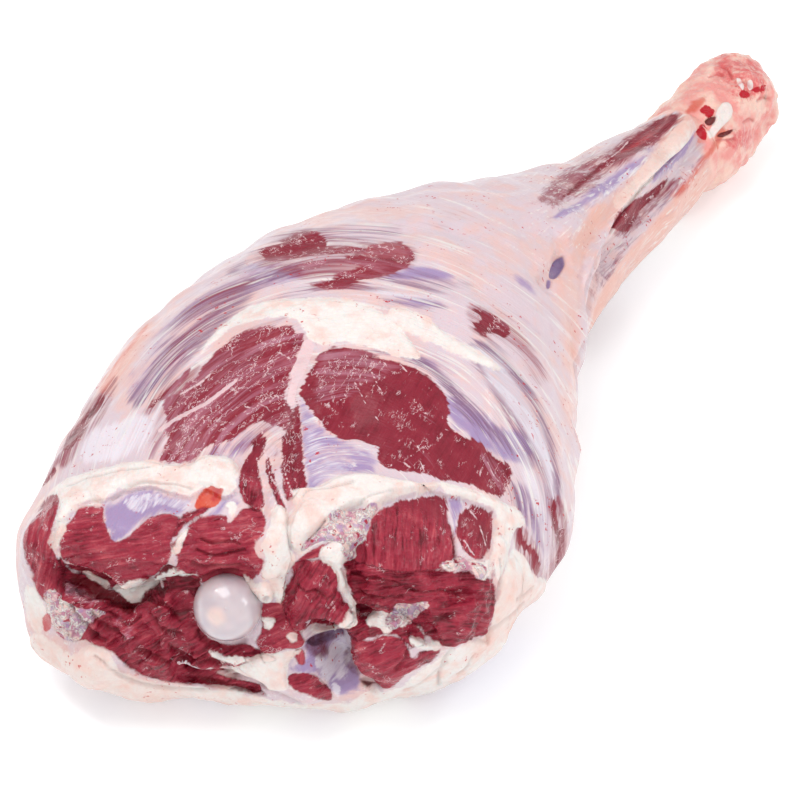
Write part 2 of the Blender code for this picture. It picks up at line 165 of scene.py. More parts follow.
# Bare muscle as the viewer sees it: tone from -1 dark to 1 bright, film left on it from 0 to 1,
# direction of its fibres in degrees, outline
MUSCLES = {
    "central": (0.0, 0.0, 60, (300, 392, 306, 378, 316, 362, 323, 352, 334, 347, 350, 349, 366, 353,
        382, 358, 400, 363, 416, 369, 431, 378, 442, 389, 448, 401, 450, 414, 449, 425, 457, 432, 470, 437,
        481, 445, 490, 453, 498, 459, 506, 462, 512, 471, 511, 480, 506, 489, 500, 499, 494, 495, 480, 490,
        470, 485, 452, 481, 438, 479, 426, 474, 402, 471, 388, 467, 377, 459, 378, 449, 370, 445, 357, 440,
        345, 440, 333, 434, 322, 424, 314, 414, 306, 404)),
    "left": (0.1, 0.75, 42, (161, 461, 163, 449, 167, 436, 166, 418, 165, 402, 178, 392, 186, 384, 196, 378,
        201, 369, 210, 357, 222, 345, 238, 333, 255, 328, 275, 325, 292, 325, 296, 332, 303, 336, 303, 347,
        297, 352, 296, 362, 291, 373, 288, 386, 284, 397, 290, 405, 292, 420, 286, 430, 275, 425, 262, 422,
        248, 428, 236, 438, 225, 443, 212, 445, 203, 450, 196, 457, 186, 461)),
    "seam sliver": (-0.3, 0.5, 85, (293, 410, 298, 402, 300, 420, 302, 445, 304, 465, 307, 486, 298, 492,
        290, 500, 284, 495, 281, 465, 282, 440, 288, 425)),
    "hollow": (-0.3, 0.3, 80, (253, 442, 262, 434, 267, 440, 264, 452, 258, 462, 260, 475, 262, 490,
        264, 505, 256, 512, 243, 500, 239, 488, 241, 470, 246, 458, 252, 452)),
    "hollow sliver": (-0.4, 0.3, 70, (265, 465, 268, 457, 273, 470, 277, 485, 281, 498, 286, 510, 281, 512,
        275, 497, 268, 480)),
    "top": (0.0, 0.55, 8, (258, 252, 268, 246, 282, 240, 294, 234, 306, 231, 318, 233, 326, 238, 331, 246,
        348, 246, 366, 247, 358, 252, 340, 254, 322, 255, 300, 257, 285, 260, 268, 260)),
    "top sliver": (0.0, 0.6, 5, (300, 265, 312, 261, 324, 263, 316, 268, 304, 268)),
    "top low": (0.2, 0.5, 12, (308, 284, 322, 282, 332, 277, 345, 272, 362, 266, 352, 262, 345, 257,
        360, 254, 372, 257, 382, 255, 400, 256, 414, 258, 404, 268, 388, 274, 372, 278, 356, 283, 342, 288,
        326, 288)),
    "top right": (0.8, 0.6, 5, (362, 250, 380, 243, 400, 241, 410, 250, 414, 258, 400, 263, 380, 260,
        366, 256)),
    "small": (-0.2, 0.45, -40, (471, 309, 482, 311, 492, 315, 502, 321, 509, 330, 508, 335, 503, 338,
        497, 335, 490, 334, 484, 337, 476, 330, 472, 322, 481, 320, 478, 314)),
    "left edge": (-0.3, 0.2, 55, (64, 449, 71, 436, 79, 424, 88, 412, 97, 401, 104, 394, 104, 402, 99, 411,
        90, 420, 85, 431, 79, 440, 70, 447)),
    "left edge low": (-0.3, 0.5, 55, (42, 483, 47, 475, 54, 468, 56, 471, 51, 478, 44, 486)),
    "left streak": (-0.1, 0.7, 40, (148, 406, 158, 396, 170, 386, 182, 376, 190, 368, 186, 378, 174, 389,
        162, 399, 152, 408)),
    "face left": (0.1, 0.1, 75, (24, 535, 34, 520, 40, 508, 48, 498, 57, 494, 60, 498, 58, 515, 54, 532,
        52, 545, 60, 560, 70, 575, 70, 590, 60, 600, 50, 603, 42, 598, 36, 588, 30, 570, 25, 555)),
    "face upper left": (0.1, 0.15, 10, (60, 540, 64, 528, 72, 520, 80, 508, 90, 506, 98, 507, 103, 508,
        104, 520, 108, 530, 115, 542, 130, 535, 140, 525, 150, 518, 165, 514, 178, 517, 181, 530, 172, 540,
        172, 552, 167, 562, 152, 575, 132, 587, 112, 590, 100, 580, 85, 575, 72, 568, 62, 555)),
    "face middle": (0.3, 0.15, 5, (172, 545, 184, 532, 192, 522, 205, 516, 225, 515, 229, 522, 235, 518,
        245, 508, 258, 508, 266, 520, 262, 535, 255, 545, 258, 556, 264, 560, 260, 572, 248, 582, 232, 582,
        218, 580, 200, 582, 185, 575, 172, 575, 178, 560, 175, 552)),
    "face crags": (-0.3, 0.05, 30, (70, 577, 88, 582, 108, 592, 132, 602, 150, 592, 160, 583, 185, 583,
        200, 585, 196, 605, 196, 620, 205, 635, 222, 644, 240, 643, 252, 646, 262, 652, 275, 658, 262, 662,
        250, 660, 240, 668, 215, 672, 240, 680, 262, 685, 258, 694, 240, 692, 225, 687, 200, 684, 170, 682,
        140, 675, 125, 665, 112, 652, 95, 645, 85, 640, 72, 640, 58, 625, 54, 610, 60, 600)),
    "face inner": (-0.2, 0.1, 60, (283, 592, 290, 578, 292, 565, 300, 560, 312, 560, 322, 560, 332, 566,
        337, 575, 338, 590, 343, 598, 350, 612, 350, 620, 335, 625, 320, 624, 308, 625, 298, 632, 290, 635,
        286, 620, 282, 608)),
    "face by the ball": (0.0, 0.15, 20, (262, 603, 275, 602, 285, 600, 295, 615, 300, 632, 302, 645,
        285, 648, 270, 655, 262, 652, 256, 642, 262, 628)),
    "face outer": (0.0, 0.05, 88, (355, 545, 362, 540, 368, 530, 372, 518, 380, 510, 395, 503, 410, 499,
        428, 496, 442, 497, 448, 505, 449, 520, 454, 535, 456, 555, 450, 562, 442, 568, 420, 572, 395, 572,
        370, 566, 350, 560)),
    "face outer low": (-0.4, 0.05, 5, (342, 562, 360, 560, 395, 570, 440, 570, 455, 572, 470, 570, 478, 578,
        492, 580, 496, 592, 494, 610, 492, 622, 486, 634, 470, 640, 455, 646, 440, 645, 430, 640, 420, 628,
        410, 622, 400, 612, 380, 608, 365, 605, 355, 598, 348, 585, 345, 572)),
    "face right": (0.1, 0.2, 75, (458, 520, 463, 512, 472, 506, 482, 508, 490, 514, 492, 528, 490, 545,
        485, 556, 476, 560, 466, 553, 460, 542, 456, 532)),
    "face round lobe": (0.0, 0.05, 20, (350, 645, 354, 636, 362, 640, 375, 640, 385, 636, 400, 638,
        408, 648, 412, 658, 420, 652, 438, 648, 440, 652, 430, 662, 418, 668, 405, 675, 395, 685, 385, 688,
        375, 682, 365, 672, 355, 660)),
    "face small lobe": (0.0, 0.15, 20, (287, 682, 290, 675, 300, 673, 312, 674, 322, 680, 330, 690,
        332, 699, 322, 700, 308, 695, 295, 690)),
    "right edge": (0.6, 0.3, 60, (516, 537, 519, 528, 524, 534, 526, 541, 534, 547, 538, 555, 542, 565,
        538, 575, 532, 568, 530, 556, 521, 549)),
    "right rim": (-0.3, 0.3, 80, (551, 505, 557, 501, 560, 520, 563, 530, 566, 530, 563, 545, 560, 560,
        552, 578, 556, 560, 557, 545, 553, 525)),
    "shank": (-0.1, -0.3, 35, (562, 197, 578, 184, 594, 170, 610, 155, 625, 143, 640, 132, 654, 121,
        666, 114, 677, 113, 676, 121, 664, 133, 650, 144, 634, 154, 617, 162, 602, 170, 588, 181,
        572, 194)),
    # The crevice's tone of -1 is painted shade
    "crevice": (-1.0, 0.0, 10, (60, 556, 70, 570, 86, 576, 100, 582, 112, 590, 132, 588, 152, 577, 168, 563,
        185, 572, 200, 583, 196, 600, 160, 604, 120, 606, 80, 600, 58, 590)),
    "between lobes": (-0.3, 0.1, 15, (350, 592, 365, 603, 400, 611, 415, 622, 425, 640, 412, 648, 400, 637,
        385, 634, 372, 638, 360, 641, 352, 640, 345, 628, 350, 612)),
    "below the ball": (-0.4, 0.1, -10, (195, 625, 215, 645, 240, 648, 262, 650, 262, 664, 240, 662,
        215, 668, 200, 660)),
    "shank low": (0.0, 0.3, 38, (612, 224, 621, 211, 633, 201, 646, 194, 656, 187, 668, 178, 662, 190,
        650, 202, 640, 213, 632, 226, 622, 233)),
    "vein": (-0.3, 0.1, 30, (172, 532, 177, 521, 186, 513, 198, 508, 211, 506, 204, 513, 194, 519, 184, 527,
        177, 536)),
    "strip": (0.2, 0.1, 30, (296, 562, 304, 555, 316, 547, 331, 542, 322, 549, 319, 556, 308, 559)),
    "pocket side": (0.2, 0.0, 80, (294, 650, 303, 650, 305, 658, 303, 665, 297, 662)),
}

# Thick fat as the viewer sees it: how far it stands up in millimetres, outline
FATS = {
    "band": (0.8, (200, 355, 212, 345, 225, 333, 240, 325, 262, 320, 285, 318, 298, 322, 305, 335, 318, 345,
        345, 343, 370, 348, 400, 357, 420, 358, 410, 340, 390, 318, 360, 302, 330, 298, 300, 298, 270, 300,
        245, 308, 222, 325, 208, 340)),
    "top": (0.6, (388, 312, 398, 308, 415, 312, 430, 320, 445, 333, 462, 343, 480, 352, 500, 370, 480, 366,
        450, 353, 425, 341, 405, 333, 390, 325)),
    "ridge": (1.5, (26, 530, 35, 512, 48, 495, 62, 482, 80, 474, 105, 468, 130, 462, 150, 461, 165, 464,
        190, 464, 205, 456, 230, 458, 238, 470, 236, 490, 225, 498, 205, 490, 190, 497, 175, 495, 150, 488,
        120, 493, 103, 503, 90, 503, 78, 508, 68, 522, 60, 545, 55, 545, 57, 520, 60, 500, 50, 495,
        38, 506)),
    "clump": (2.5, (290, 492, 305, 488, 320, 486, 335, 477, 355, 474, 375, 475, 400, 480, 420, 484,
        440, 483, 430, 492, 410, 496, 392, 501, 378, 508, 370, 516, 362, 508, 350, 510, 335, 520, 322, 526,
        308, 537, 300, 550, 290, 548, 285, 535, 290, 520, 296, 505)),
    "right ridge": (1.2, (440, 482, 470, 490, 500, 501, 520, 512, 525, 525, 515, 530, 510, 545, 503, 570,
        497, 582, 490, 565, 493, 545, 494, 525, 490, 511, 475, 504, 460, 500, 445, 496)),
    "lace": (1.2, (303, 543, 322, 526, 345, 518, 360, 508, 368, 520, 362, 538, 357, 548, 356, 558, 345, 561,
        341, 566, 346, 580, 350, 592, 355, 602, 350, 612, 345, 600, 338, 585, 332, 566, 324, 562, 320, 556,
        321, 548, 331, 542, 318, 545, 306, 552, 299, 553)),
    "column": (2.0, (262, 545, 268, 530, 272, 515, 278, 505, 287, 512, 288, 527, 290, 545, 295, 558,
        290, 570, 286, 585, 282, 600, 274, 598, 270, 580, 262, 578, 265, 560)),
    "vessel": (1.5, (243, 576, 256, 583, 266, 582, 274, 592, 270, 602, 262, 602, 252, 592)),
    "bead": (1.5, (263, 620, 267, 616, 273, 617, 275, 622, 271, 629, 265, 629)),
    "low bead": (1.2, (286, 637, 289, 633, 295, 634, 296, 639, 291, 642)),
    "lump": (1.5, (365, 622, 371, 613, 380, 609, 388, 612, 386, 622, 392, 630, 385, 634, 378, 628,
        368, 628)),
    "bottom rim": (0.8, (38, 632, 46, 636, 56, 644, 66, 650, 76, 654, 90, 645, 108, 652, 118, 665, 130, 675,
        160, 683, 200, 686, 228, 691, 262, 697, 300, 703, 335, 703, 352, 700, 366, 692, 382, 691, 398, 686,
        412, 676, 430, 664, 450, 650, 470, 642, 488, 634, 495, 620, 498, 600, 500, 585, 512, 580, 540, 585,
        540, 620, 500, 660, 450, 690, 400, 715, 330, 730, 240, 725, 140, 715, 80, 700, 30, 665, 28, 640)),
    "right": (1.0, (497, 600, 500, 578, 510, 550, 518, 552, 527, 560, 534, 576, 546, 580, 545, 610,
        520, 630, 500, 640, 488, 645, 491, 630)),
    "flap": (1.5, (255, 656, 275, 652, 290, 650, 301, 650, 290, 660, 288, 675, 287, 690, 270, 690, 262, 682,
        240, 674, 222, 668, 245, 664)),
    "pocket lip": (1.5, (307, 625, 318, 627, 328, 625, 338, 621, 352, 618, 345, 625, 335, 629, 325, 633,
        312, 634)),
    "line": (0.8, (334, 566, 340, 568, 346, 582, 352, 595, 357, 607, 354, 618, 349, 606, 343, 592,
        337, 578)),
    "crevice lip": (1.2, (112, 589, 118, 583, 128, 580, 140, 578, 152, 577, 163, 570, 176, 567, 190, 570,
        204, 574, 188, 576, 168, 577, 154, 586, 144, 595, 133, 602, 124, 598, 117, 593)),
    "lip of the lobe": (0.8, (84, 575, 92, 574, 102, 579, 110, 585, 108, 588, 98, 583)),
    "left rim": (0.6, (24, 590, 32, 586, 38, 592, 43, 602, 50, 612, 44, 622, 40, 636, 28, 620)),
    "rim tongue": (1.0, (226, 687, 236, 686, 248, 690, 252, 694, 240, 695, 229, 691)),
    "white spot": (0.8, (224, 505, 232, 500, 237, 507, 231, 517, 227, 512)),
    "under ball bit": (1.0, (206, 648, 222, 654, 240, 656, 252, 660, 236, 664, 216, 660)),
    "lobe bit a": (1.2, (396, 612, 404, 616, 408, 624, 400, 628, 394, 620)),
    "lobe bit b": (1.2, (346, 612, 354, 616, 352, 626, 344, 624)),
    "lobe bit c": (1.0, (410, 636, 424, 640, 440, 642, 438, 650, 420, 650, 410, 644)),
    "ball bit": (1.2, (250, 606, 258, 604, 262, 612, 256, 620, 250, 616)),
    "corner": (1.0, (173, 550, 178, 538, 184, 528, 189, 528, 184, 542, 178, 553)),
    "right gap": (0.8, (440, 566, 450, 560, 455, 568, 465, 561, 480, 562, 490, 560, 488, 575, 481, 581,
        475, 572, 462, 568, 450, 571)),
    "shank sinew": (0.3, (611, 202, 626, 184, 643, 165, 659, 147, 674, 130, 685, 119, 692, 129, 681, 148,
        665, 165, 649, 184, 632, 201, 617, 212)),
}

# Blue-white silverskin as the viewer sees it: strength, outline
SILVER = {
    "left": (0.55, (125, 395, 128, 380, 140, 360, 158, 335, 180, 312, 205, 292, 230, 275, 255, 262,
        275, 260, 300, 260, 315, 268, 300, 278, 280, 285, 262, 290, 240, 300, 225, 315, 205, 332, 190, 352,
        172, 372, 150, 392, 140, 405)),
    "right of the muscle": (1.0, (445, 395, 470, 405, 500, 425, 525, 435, 535, 450, 520, 464, 502, 460,
        482, 447, 465, 435, 452, 428)),
    "triangle": (0.8, (300, 400, 308, 405, 320, 424, 335, 436, 350, 441, 362, 446, 372, 452, 377, 460,
        374, 472, 355, 474, 335, 475, 322, 482, 316, 490, 308, 488, 304, 460, 301, 430)),
    "shank": (1.0, (555, 218, 570, 205, 585, 195, 600, 183, 618, 170, 635, 158, 650, 148, 655, 150,
        640, 165, 625, 178, 610, 192, 595, 203, 578, 212, 565, 219)),
    "shank groove": (1.0, (645, 180, 655, 166, 668, 154, 682, 142, 695, 131, 698, 138, 690, 150, 678, 162,
        665, 174, 655, 182)),
    "pocket": (1.0, (307, 640, 320, 632, 340, 628, 352, 625, 356, 640, 352, 655, 358, 668, 360, 682,
        350, 692, 340, 698, 333, 690, 322, 680, 310, 674, 290, 672, 288, 665, 305, 660)),
    "face left": (1.0, (104, 520, 104, 505, 118, 498, 140, 490, 160, 492, 175, 498, 190, 500, 180, 516,
        160, 513, 145, 520, 130, 532, 115, 542, 107, 530)),
    "top": (0.9, (378, 280, 400, 270, 425, 266, 445, 270, 454, 278, 430, 280, 400, 281)),
    "top low": (0.9, (392, 299, 405, 299, 425, 299, 442, 304, 430, 309, 412, 309, 400, 305)),
    "knee": (0.9, (515, 275, 525, 278, 532, 285, 534, 293, 527, 289, 519, 283)),
    "between": (0.7, (447, 500, 455, 498, 464, 503, 459, 515, 456, 534, 451, 520)),
    "right": (0.6, (520, 480, 535, 490, 545, 510, 552, 530, 555, 560, 548, 575, 540, 560, 530, 540,
        522, 520, 515, 500)),
    "above the muscle": (0.6, (395, 340, 420, 348, 445, 358, 462, 372, 450, 380, 430, 370, 405, 358)),
    "face middle": (0.9, (207, 514, 216, 506, 224, 498, 236, 495, 238, 503, 226, 507, 221, 516, 211, 517)),
    "under the left muscle": (0.6, (200, 462, 212, 448, 225, 440, 240, 428, 256, 430, 250, 445, 240, 455,
        225, 462)),
}

# Soft patches as the viewer sees them: layer, strength, softness of the edge in millimetres, outline
# The dark patches of the pocket, the crevice and the low groove are painted shade
# The gleam patches are blue-white membrane with painted highlights on it
PATCHES = {
    "above the muscle": ("shade", 1.0, 3.0, (360, 337, 385, 335, 420, 350, 450, 375, 472, 400, 502, 425,
        532, 445, 540, 470, 525, 470, 500, 450, 470, 425, 448, 400, 430, 375, 400, 358, 375, 350)),
    "long streaks": ("shade", 0.9, 3.0, (480, 337, 500, 345, 520, 370, 540, 400, 555, 440, 562, 500,
        560, 540, 548, 520, 535, 480, 520, 450, 500, 410, 480, 375, 465, 352)),
    "left arcs": ("shade", 0.9, 3.0, (125, 400, 140, 375, 165, 335, 190, 305, 215, 285, 250, 270, 300, 262,
        300, 275, 262, 290, 248, 305, 225, 325, 205, 350, 180, 375, 160, 395, 140, 410)),
    "left arcs low": ("shade", 0.6, 3.0, (118, 427, 150, 405, 190, 380, 182, 396, 150, 417, 125, 434)),
    "top edge": ("shade", 0.75, 3.0, (225, 268, 260, 245, 300, 228, 330, 222, 360, 222, 400, 225, 400, 240,
        360, 244, 330, 246, 262, 262, 235, 277)),
    "top middle": ("shade", 0.6, 3.0, (330, 272, 380, 268, 450, 273, 475, 286, 440, 294, 400, 292, 350, 297,
        300, 300, 270, 302, 290, 285)),
    "top low": ("shade", 0.7, 3.0, (372, 300, 392, 295, 440, 301, 447, 309, 425, 313, 400, 309, 385, 309)),
    "shank top": ("shade", 0.3, 1.5, (535, 190, 560, 175, 600, 155, 640, 130, 680, 110, 690, 118, 650, 150,
        610, 180, 580, 202, 555, 214)),
    "shank low": ("shade", 0.6, 1.5, (600, 250, 620, 235, 650, 205, 690, 165, 710, 150, 690, 182, 650, 225,
        620, 260, 600, 292)),
    "low right": ("shade", 0.8, 3.0, (500, 475, 520, 480, 540, 500, 552, 540, 550, 575, 538, 560, 525, 530,
        510, 510)),
    "right edge": ("warm", 0.7, 3.0, (548, 250, 565, 232, 577, 262, 580, 320, 578, 380, 572, 440, 562, 400,
        562, 340, 553, 290)),
    "left edge": ("warm", 0.9, 3.0, (98, 388, 118, 355, 143, 324, 152, 330, 132, 362, 112, 394)),
    "ridge": ("rust", 1.1, 0.6, (195, 508, 197, 499, 203, 492, 211, 488, 218, 491, 224, 492, 221, 500,
        214, 507, 204, 508)),
    "left edge streak": ("rust", 0.45, 1.0, (98, 388, 120, 352, 143, 322, 148, 328, 128, 358, 108, 392)),
    "shank streak": ("rust", 0.62, 2.2, (668, 200, 680, 182, 696, 162, 710, 146, 718, 138, 724, 142,
        712, 160, 696, 180, 680, 196)),
    "shank tendon streak": ("warm", 1.2, 1.2, (676, 120, 684, 107, 694, 99, 706, 95, 708, 103, 698, 112,
        688, 122, 676, 136)),
    "shank band": ("stain", 1.0, 2.4, (538, 196, 552, 180, 580, 162, 610, 146, 640, 126, 662, 114, 680, 109,
        682, 120, 664, 140, 642, 154, 614, 172, 590, 190, 568, 204, 546, 206)),
    "shank low band": ("stain", 0.9, 1.2, (612, 234, 620, 218, 633, 205, 651, 190, 668, 180, 687, 174,
        672, 190, 655, 208, 640, 226, 625, 240)),
    # The stain on the shank's lower lobe is a painted shadow cast by the sheath's edge
    "shank lobe": ("stain", 0.5, 2.0, (586, 305, 588, 275, 598, 255, 612, 240, 625, 240, 640, 232, 622, 264,
        602, 292, 590, 320)),
    "top windows": ("stain", 0.75, 3.0, (250, 256, 275, 238, 305, 226, 335, 233, 380, 238, 412, 243,
        418, 262, 390, 278, 350, 292, 315, 292, 290, 277, 262, 268)),
    "small window": ("stain", 0.75, 2.0, (466, 305, 485, 304, 511, 318, 532, 345, 548, 382, 536, 386,
        515, 357, 495, 342, 474, 337, 466, 320)),
    "left muscle": ("stain", 0.55, 3.0, (150, 470, 156, 402, 190, 370, 215, 343, 250, 321, 300, 319,
        308, 340, 300, 400, 294, 470, 250, 452, 200, 467)),
    "left streak": ("stain", 0.9, 1.5, (138, 414, 160, 390, 190, 364, 202, 368, 172, 399, 148, 418)),
    "left strip": ("stain", 0.8, 1.5, (58, 462, 75, 434, 95, 403, 112, 376, 119, 382, 106, 411, 86, 441,
        68, 467)),
    "right low": ("stain", 0.9, 1.2, (512, 530, 520, 524, 532, 534, 545, 560, 549, 580, 536, 580, 525, 562,
        514, 548)),
    "right rim": ("stain", 0.9, 1.0, (547, 503, 560, 496, 569, 530, 563, 566, 550, 586, 547, 560,
        551, 530)),
    "right gap": ("stain", 0.6, 1.2, (438, 560, 456, 556, 490, 562, 494, 580, 470, 582, 445, 574)),
    "lobes gap": ("stain", 0.6, 1.5, (344, 600, 400, 606, 430, 640, 400, 640, 350, 645)),
    "knee veil": ("stain", 0.35, 3.0, (350, 245, 380, 225, 440, 210, 480, 215, 440, 235, 410, 245,
        400, 262)),
    "tendon": ("warm", 0.75, 2.0, (572, 330, 570, 290, 585, 258, 605, 228, 635, 195, 665, 160, 690, 130,
        712, 108, 700, 92, 685, 100, 668, 128, 645, 158, 612, 192, 590, 218, 572, 245, 562, 285)),
    "shank margin": ("warm", 1.3, 2.5, (590, 330, 598, 296, 620, 264, 642, 236, 664, 210, 684, 188,
        702, 168, 720, 152, 745, 148, 740, 175, 700, 212, 660, 252, 620, 302, 596, 342)),
    "knee": ("warm", 0.25, 3.0, (440, 205, 480, 195, 540, 190, 560, 205, 540, 225, 500, 225, 460, 222)),
    "cut corner": ("warm", 0.5, 3.0, (30, 600, 60, 640, 110, 660, 200, 690, 260, 700, 250, 715, 150, 705,
        60, 680, 25, 640)),
    "right fat": ("warm", 0.6, 3.0, (492, 600, 500, 575, 515, 570, 535, 590, 520, 625, 495, 645, 470, 660,
        470, 640, 492, 625)),
    "lace": ("veil", 0.85, 3.0, (318, 355, 345, 350, 380, 355, 405, 368, 385, 378, 365, 388, 345, 402,
        325, 405, 312, 395)),
    "middle": ("veil", 0.3, 3.0, (385, 405, 430, 400, 440, 420, 420, 440, 395, 430)),
    "low middle": ("veil", 0.3, 3.0, (370, 445, 400, 440, 430, 445, 440, 470, 400, 470, 375, 460)),
    "corner": ("veil", 0.7, 3.0, (480, 455, 505, 458, 514, 475, 505, 500, 488, 490)),
    "shank orange": ("warm", 1.2, 2.0, (570, 246, 580, 226, 596, 206, 606, 206, 596, 226, 582, 246)),
    "shank light": ("gleam", 0.7, 1.2, (556, 218, 572, 210, 590, 200, 610, 186, 632, 168, 640, 166,
        622, 184, 600, 202, 578, 214, 560, 221)),
    "shank groove light": ("gleam", 0.6, 1.0, (664, 176, 682, 158, 695, 140, 699, 146, 688, 162, 672, 178)),
    "red speck": ("blood", 0.9, 0.9, (43, 616, 49, 613, 52, 622, 51, 629, 45, 632, 42, 625)),
    "pocket dark": ("dark", 0.65, 1.2, (305, 642, 313, 634, 327, 629, 333, 636, 328, 643, 330, 652,
        322, 660, 313, 657, 306, 650)),
    "pocket dark right": ("dark", 0.5, 0.8, (342, 654, 350, 645, 356, 659, 362, 675, 353, 675, 345, 665)),
    "pocket dark low": ("dark", 1.0, 0.6, (361, 680, 368, 681, 378, 686, 380, 691, 370, 690, 364, 685)),
    "pocket mound": ("stain", 0.75, 1.0, (318, 646, 334, 640, 341, 652, 334, 662, 322, 657)),
    "pocket shelf": ("dark", 0.45, 0.8, (330, 630, 338, 626, 346, 625, 344, 633, 335, 640, 331, 636)),
    "pocket flap": ("gleam", 1.3, 0.7, (344, 631, 351, 625, 357, 628, 355, 637, 349, 649, 344, 641)),
    "pocket sheet": ("gleam", 1.2, 0.9, (314, 659, 320, 653, 328, 661, 336, 664, 334, 673, 328, 683,
        318, 672)),
    "pocket sheet low": ("gleam", 1.1, 0.7, (331, 680, 338, 684, 341, 692, 338, 700, 333, 692)),
    "triangle": ("gleam", 0.65, 4.0, (298, 405, 308, 412, 322, 436, 338, 452, 352, 466, 345, 480, 325, 483,
        312, 490, 305, 470, 301, 440)),
    "face lilac": ("gleam", 0.8, 1.2, (122, 500, 150, 492, 172, 497, 192, 502, 184, 512, 160, 506,
        138, 514)),
    "middle fall": ("gleam", 0.7, 1.0, (276, 514, 283, 520, 284, 540, 279, 560, 272, 560, 272, 535)),
    "right light": ("gleam", 0.9, 2.0, (470, 345, 500, 362, 528, 398, 548, 440, 556, 490, 552, 500,
        538, 460, 516, 420, 490, 385)),
    "right light low": ("gleam", 0.8, 1.5, (500, 420, 520, 440, 536, 470, 546, 510, 550, 560, 543, 556,
        534, 515, 518, 470)),
    "left light": ("gleam", 0.8, 2.0, (150, 440, 164, 408, 190, 372, 222, 338, 246, 316, 228, 320, 196, 352,
        168, 384, 148, 416)),
    "top light": ("gleam", 0.8, 2.0, (300, 296, 340, 292, 380, 290, 420, 292, 448, 297, 420, 300, 380, 298,
        340, 300)),
    "left foam": ("foam", 1.0, 0.8, (45, 593, 54, 589, 64, 600, 76, 607, 90, 609, 103, 611, 105, 616,
        92, 622, 86, 630, 78, 641, 66, 640, 56, 633, 50, 620, 46, 606)),
    "lace foam": ("foam", 1.0, 1.0, (316, 532, 326, 520, 338, 513, 352, 511, 366, 510, 378, 508, 371, 520,
        368, 532, 364, 541, 357, 547, 355, 557, 345, 560, 337, 552, 338, 543, 326, 541, 312, 545, 302, 550,
        306, 541)),
    "lobes foam": ("foam", 0.9, 0.8, (398, 606, 412, 606, 425, 600, 430, 604, 420, 614, 408, 622, 398, 628,
        388, 630, 386, 618)),
    "gap foam": ("foam", 0.9, 0.8, (442, 562, 450, 562, 456, 556, 470, 562, 480, 564, 486, 572, 480, 580,
        472, 571, 458, 570, 446, 568)),
    "crevice": ("dark", 1.1, 0.8, (70, 573, 84, 580, 98, 583, 108, 590, 116, 594, 126, 602, 136, 604,
        134, 612, 124, 612, 114, 602, 100, 596, 86, 588, 76, 582)),
    "low groove": ("dark", 0.8, 0.5, (196, 676, 215, 677, 232, 682, 246, 688, 258, 693, 244, 692, 225, 687,
        206, 682)),
    "crag film": ("veil", 1.0, 2.0, (66, 578, 80, 585, 94, 593, 104, 603, 92, 606, 76, 602, 64, 592)),
    "crag film low": ("veil", 0.8, 2.0, (112, 612, 126, 616, 134, 630, 132, 644, 120, 640, 112, 626)),
    "left arcs red": ("stain", 0.7, 4.0, (160, 350, 180, 318, 206, 294, 240, 276, 262, 276, 250, 292,
        226, 312, 204, 338, 184, 362, 166, 376)),
    "left arcs edge": ("stain", 0.6, 3.0, (140, 372, 160, 342, 190, 308, 220, 284, 232, 286, 200, 316,
        172, 350, 150, 378)),
    "right low red": ("stain", 0.5, 3.0, (522, 470, 538, 492, 550, 530, 548, 560, 538, 540, 528, 508)),
    "shank ruby": ("blood", 0.58, 2.0, (612, 154, 628, 143, 650, 127, 666, 118, 673, 121, 660, 134,
        644, 146, 624, 156)),
    "shank dark streak": ("dark", 0.5, 1.0, (566, 190, 584, 175, 600, 163, 603, 166, 588, 179, 570, 194)),
    "left white": ("gleam", 1.1, 3.0, (82, 462, 79, 446, 90, 432, 106, 424, 124, 419, 142, 410, 152, 420,
        148, 438, 138, 452, 116, 463)),
    "left edge dark": ("stain", 0.9, 1.5, (42, 484, 52, 464, 64, 442, 78, 418, 94, 397, 110, 383, 105, 400,
        94, 416, 84, 432, 74, 450, 66, 462, 56, 468, 48, 482)),
    "pocket light": ("gleam", 0.9, 1.5, (330, 640, 342, 633, 351, 642, 353, 660, 346, 678, 336, 680,
        328, 668, 324, 654)),
}

# Hollows as the viewer sees them, darkened with painted shade: depth in millimetres, lilac skin in them,
# outline
HOLLOWS = {
    "slit": (2.2, 1.6, (549, 276, 552, 265, 557, 259, 563, 257, 564, 265, 559, 275, 553, 279)),
    "slit low": (1.2, 1.3, (546, 288, 547, 280, 551, 280, 550, 288)),
    "pocket top": (2.6, 0.8, (308, 641, 318, 634, 332, 630, 342, 629, 340, 636, 328, 640, 316, 645)),
    "crevice": (1.6, 0.0, (68, 576, 90, 584, 110, 592, 130, 600, 152, 590, 150, 600, 128, 608, 104, 603,
        80, 594)),
    "lobe hole": (3.0, 0.0, (361, 679, 368, 676, 378, 683, 381, 691, 371, 692)),
    "low groove": (1.8, 0.0, (190, 674, 220, 679, 258, 688, 262, 696, 225, 688, 192, 682)),
    "vessel": (1.6, 0.0, (264, 595, 267, 593, 270, 596, 268, 600, 265, 600)),
}

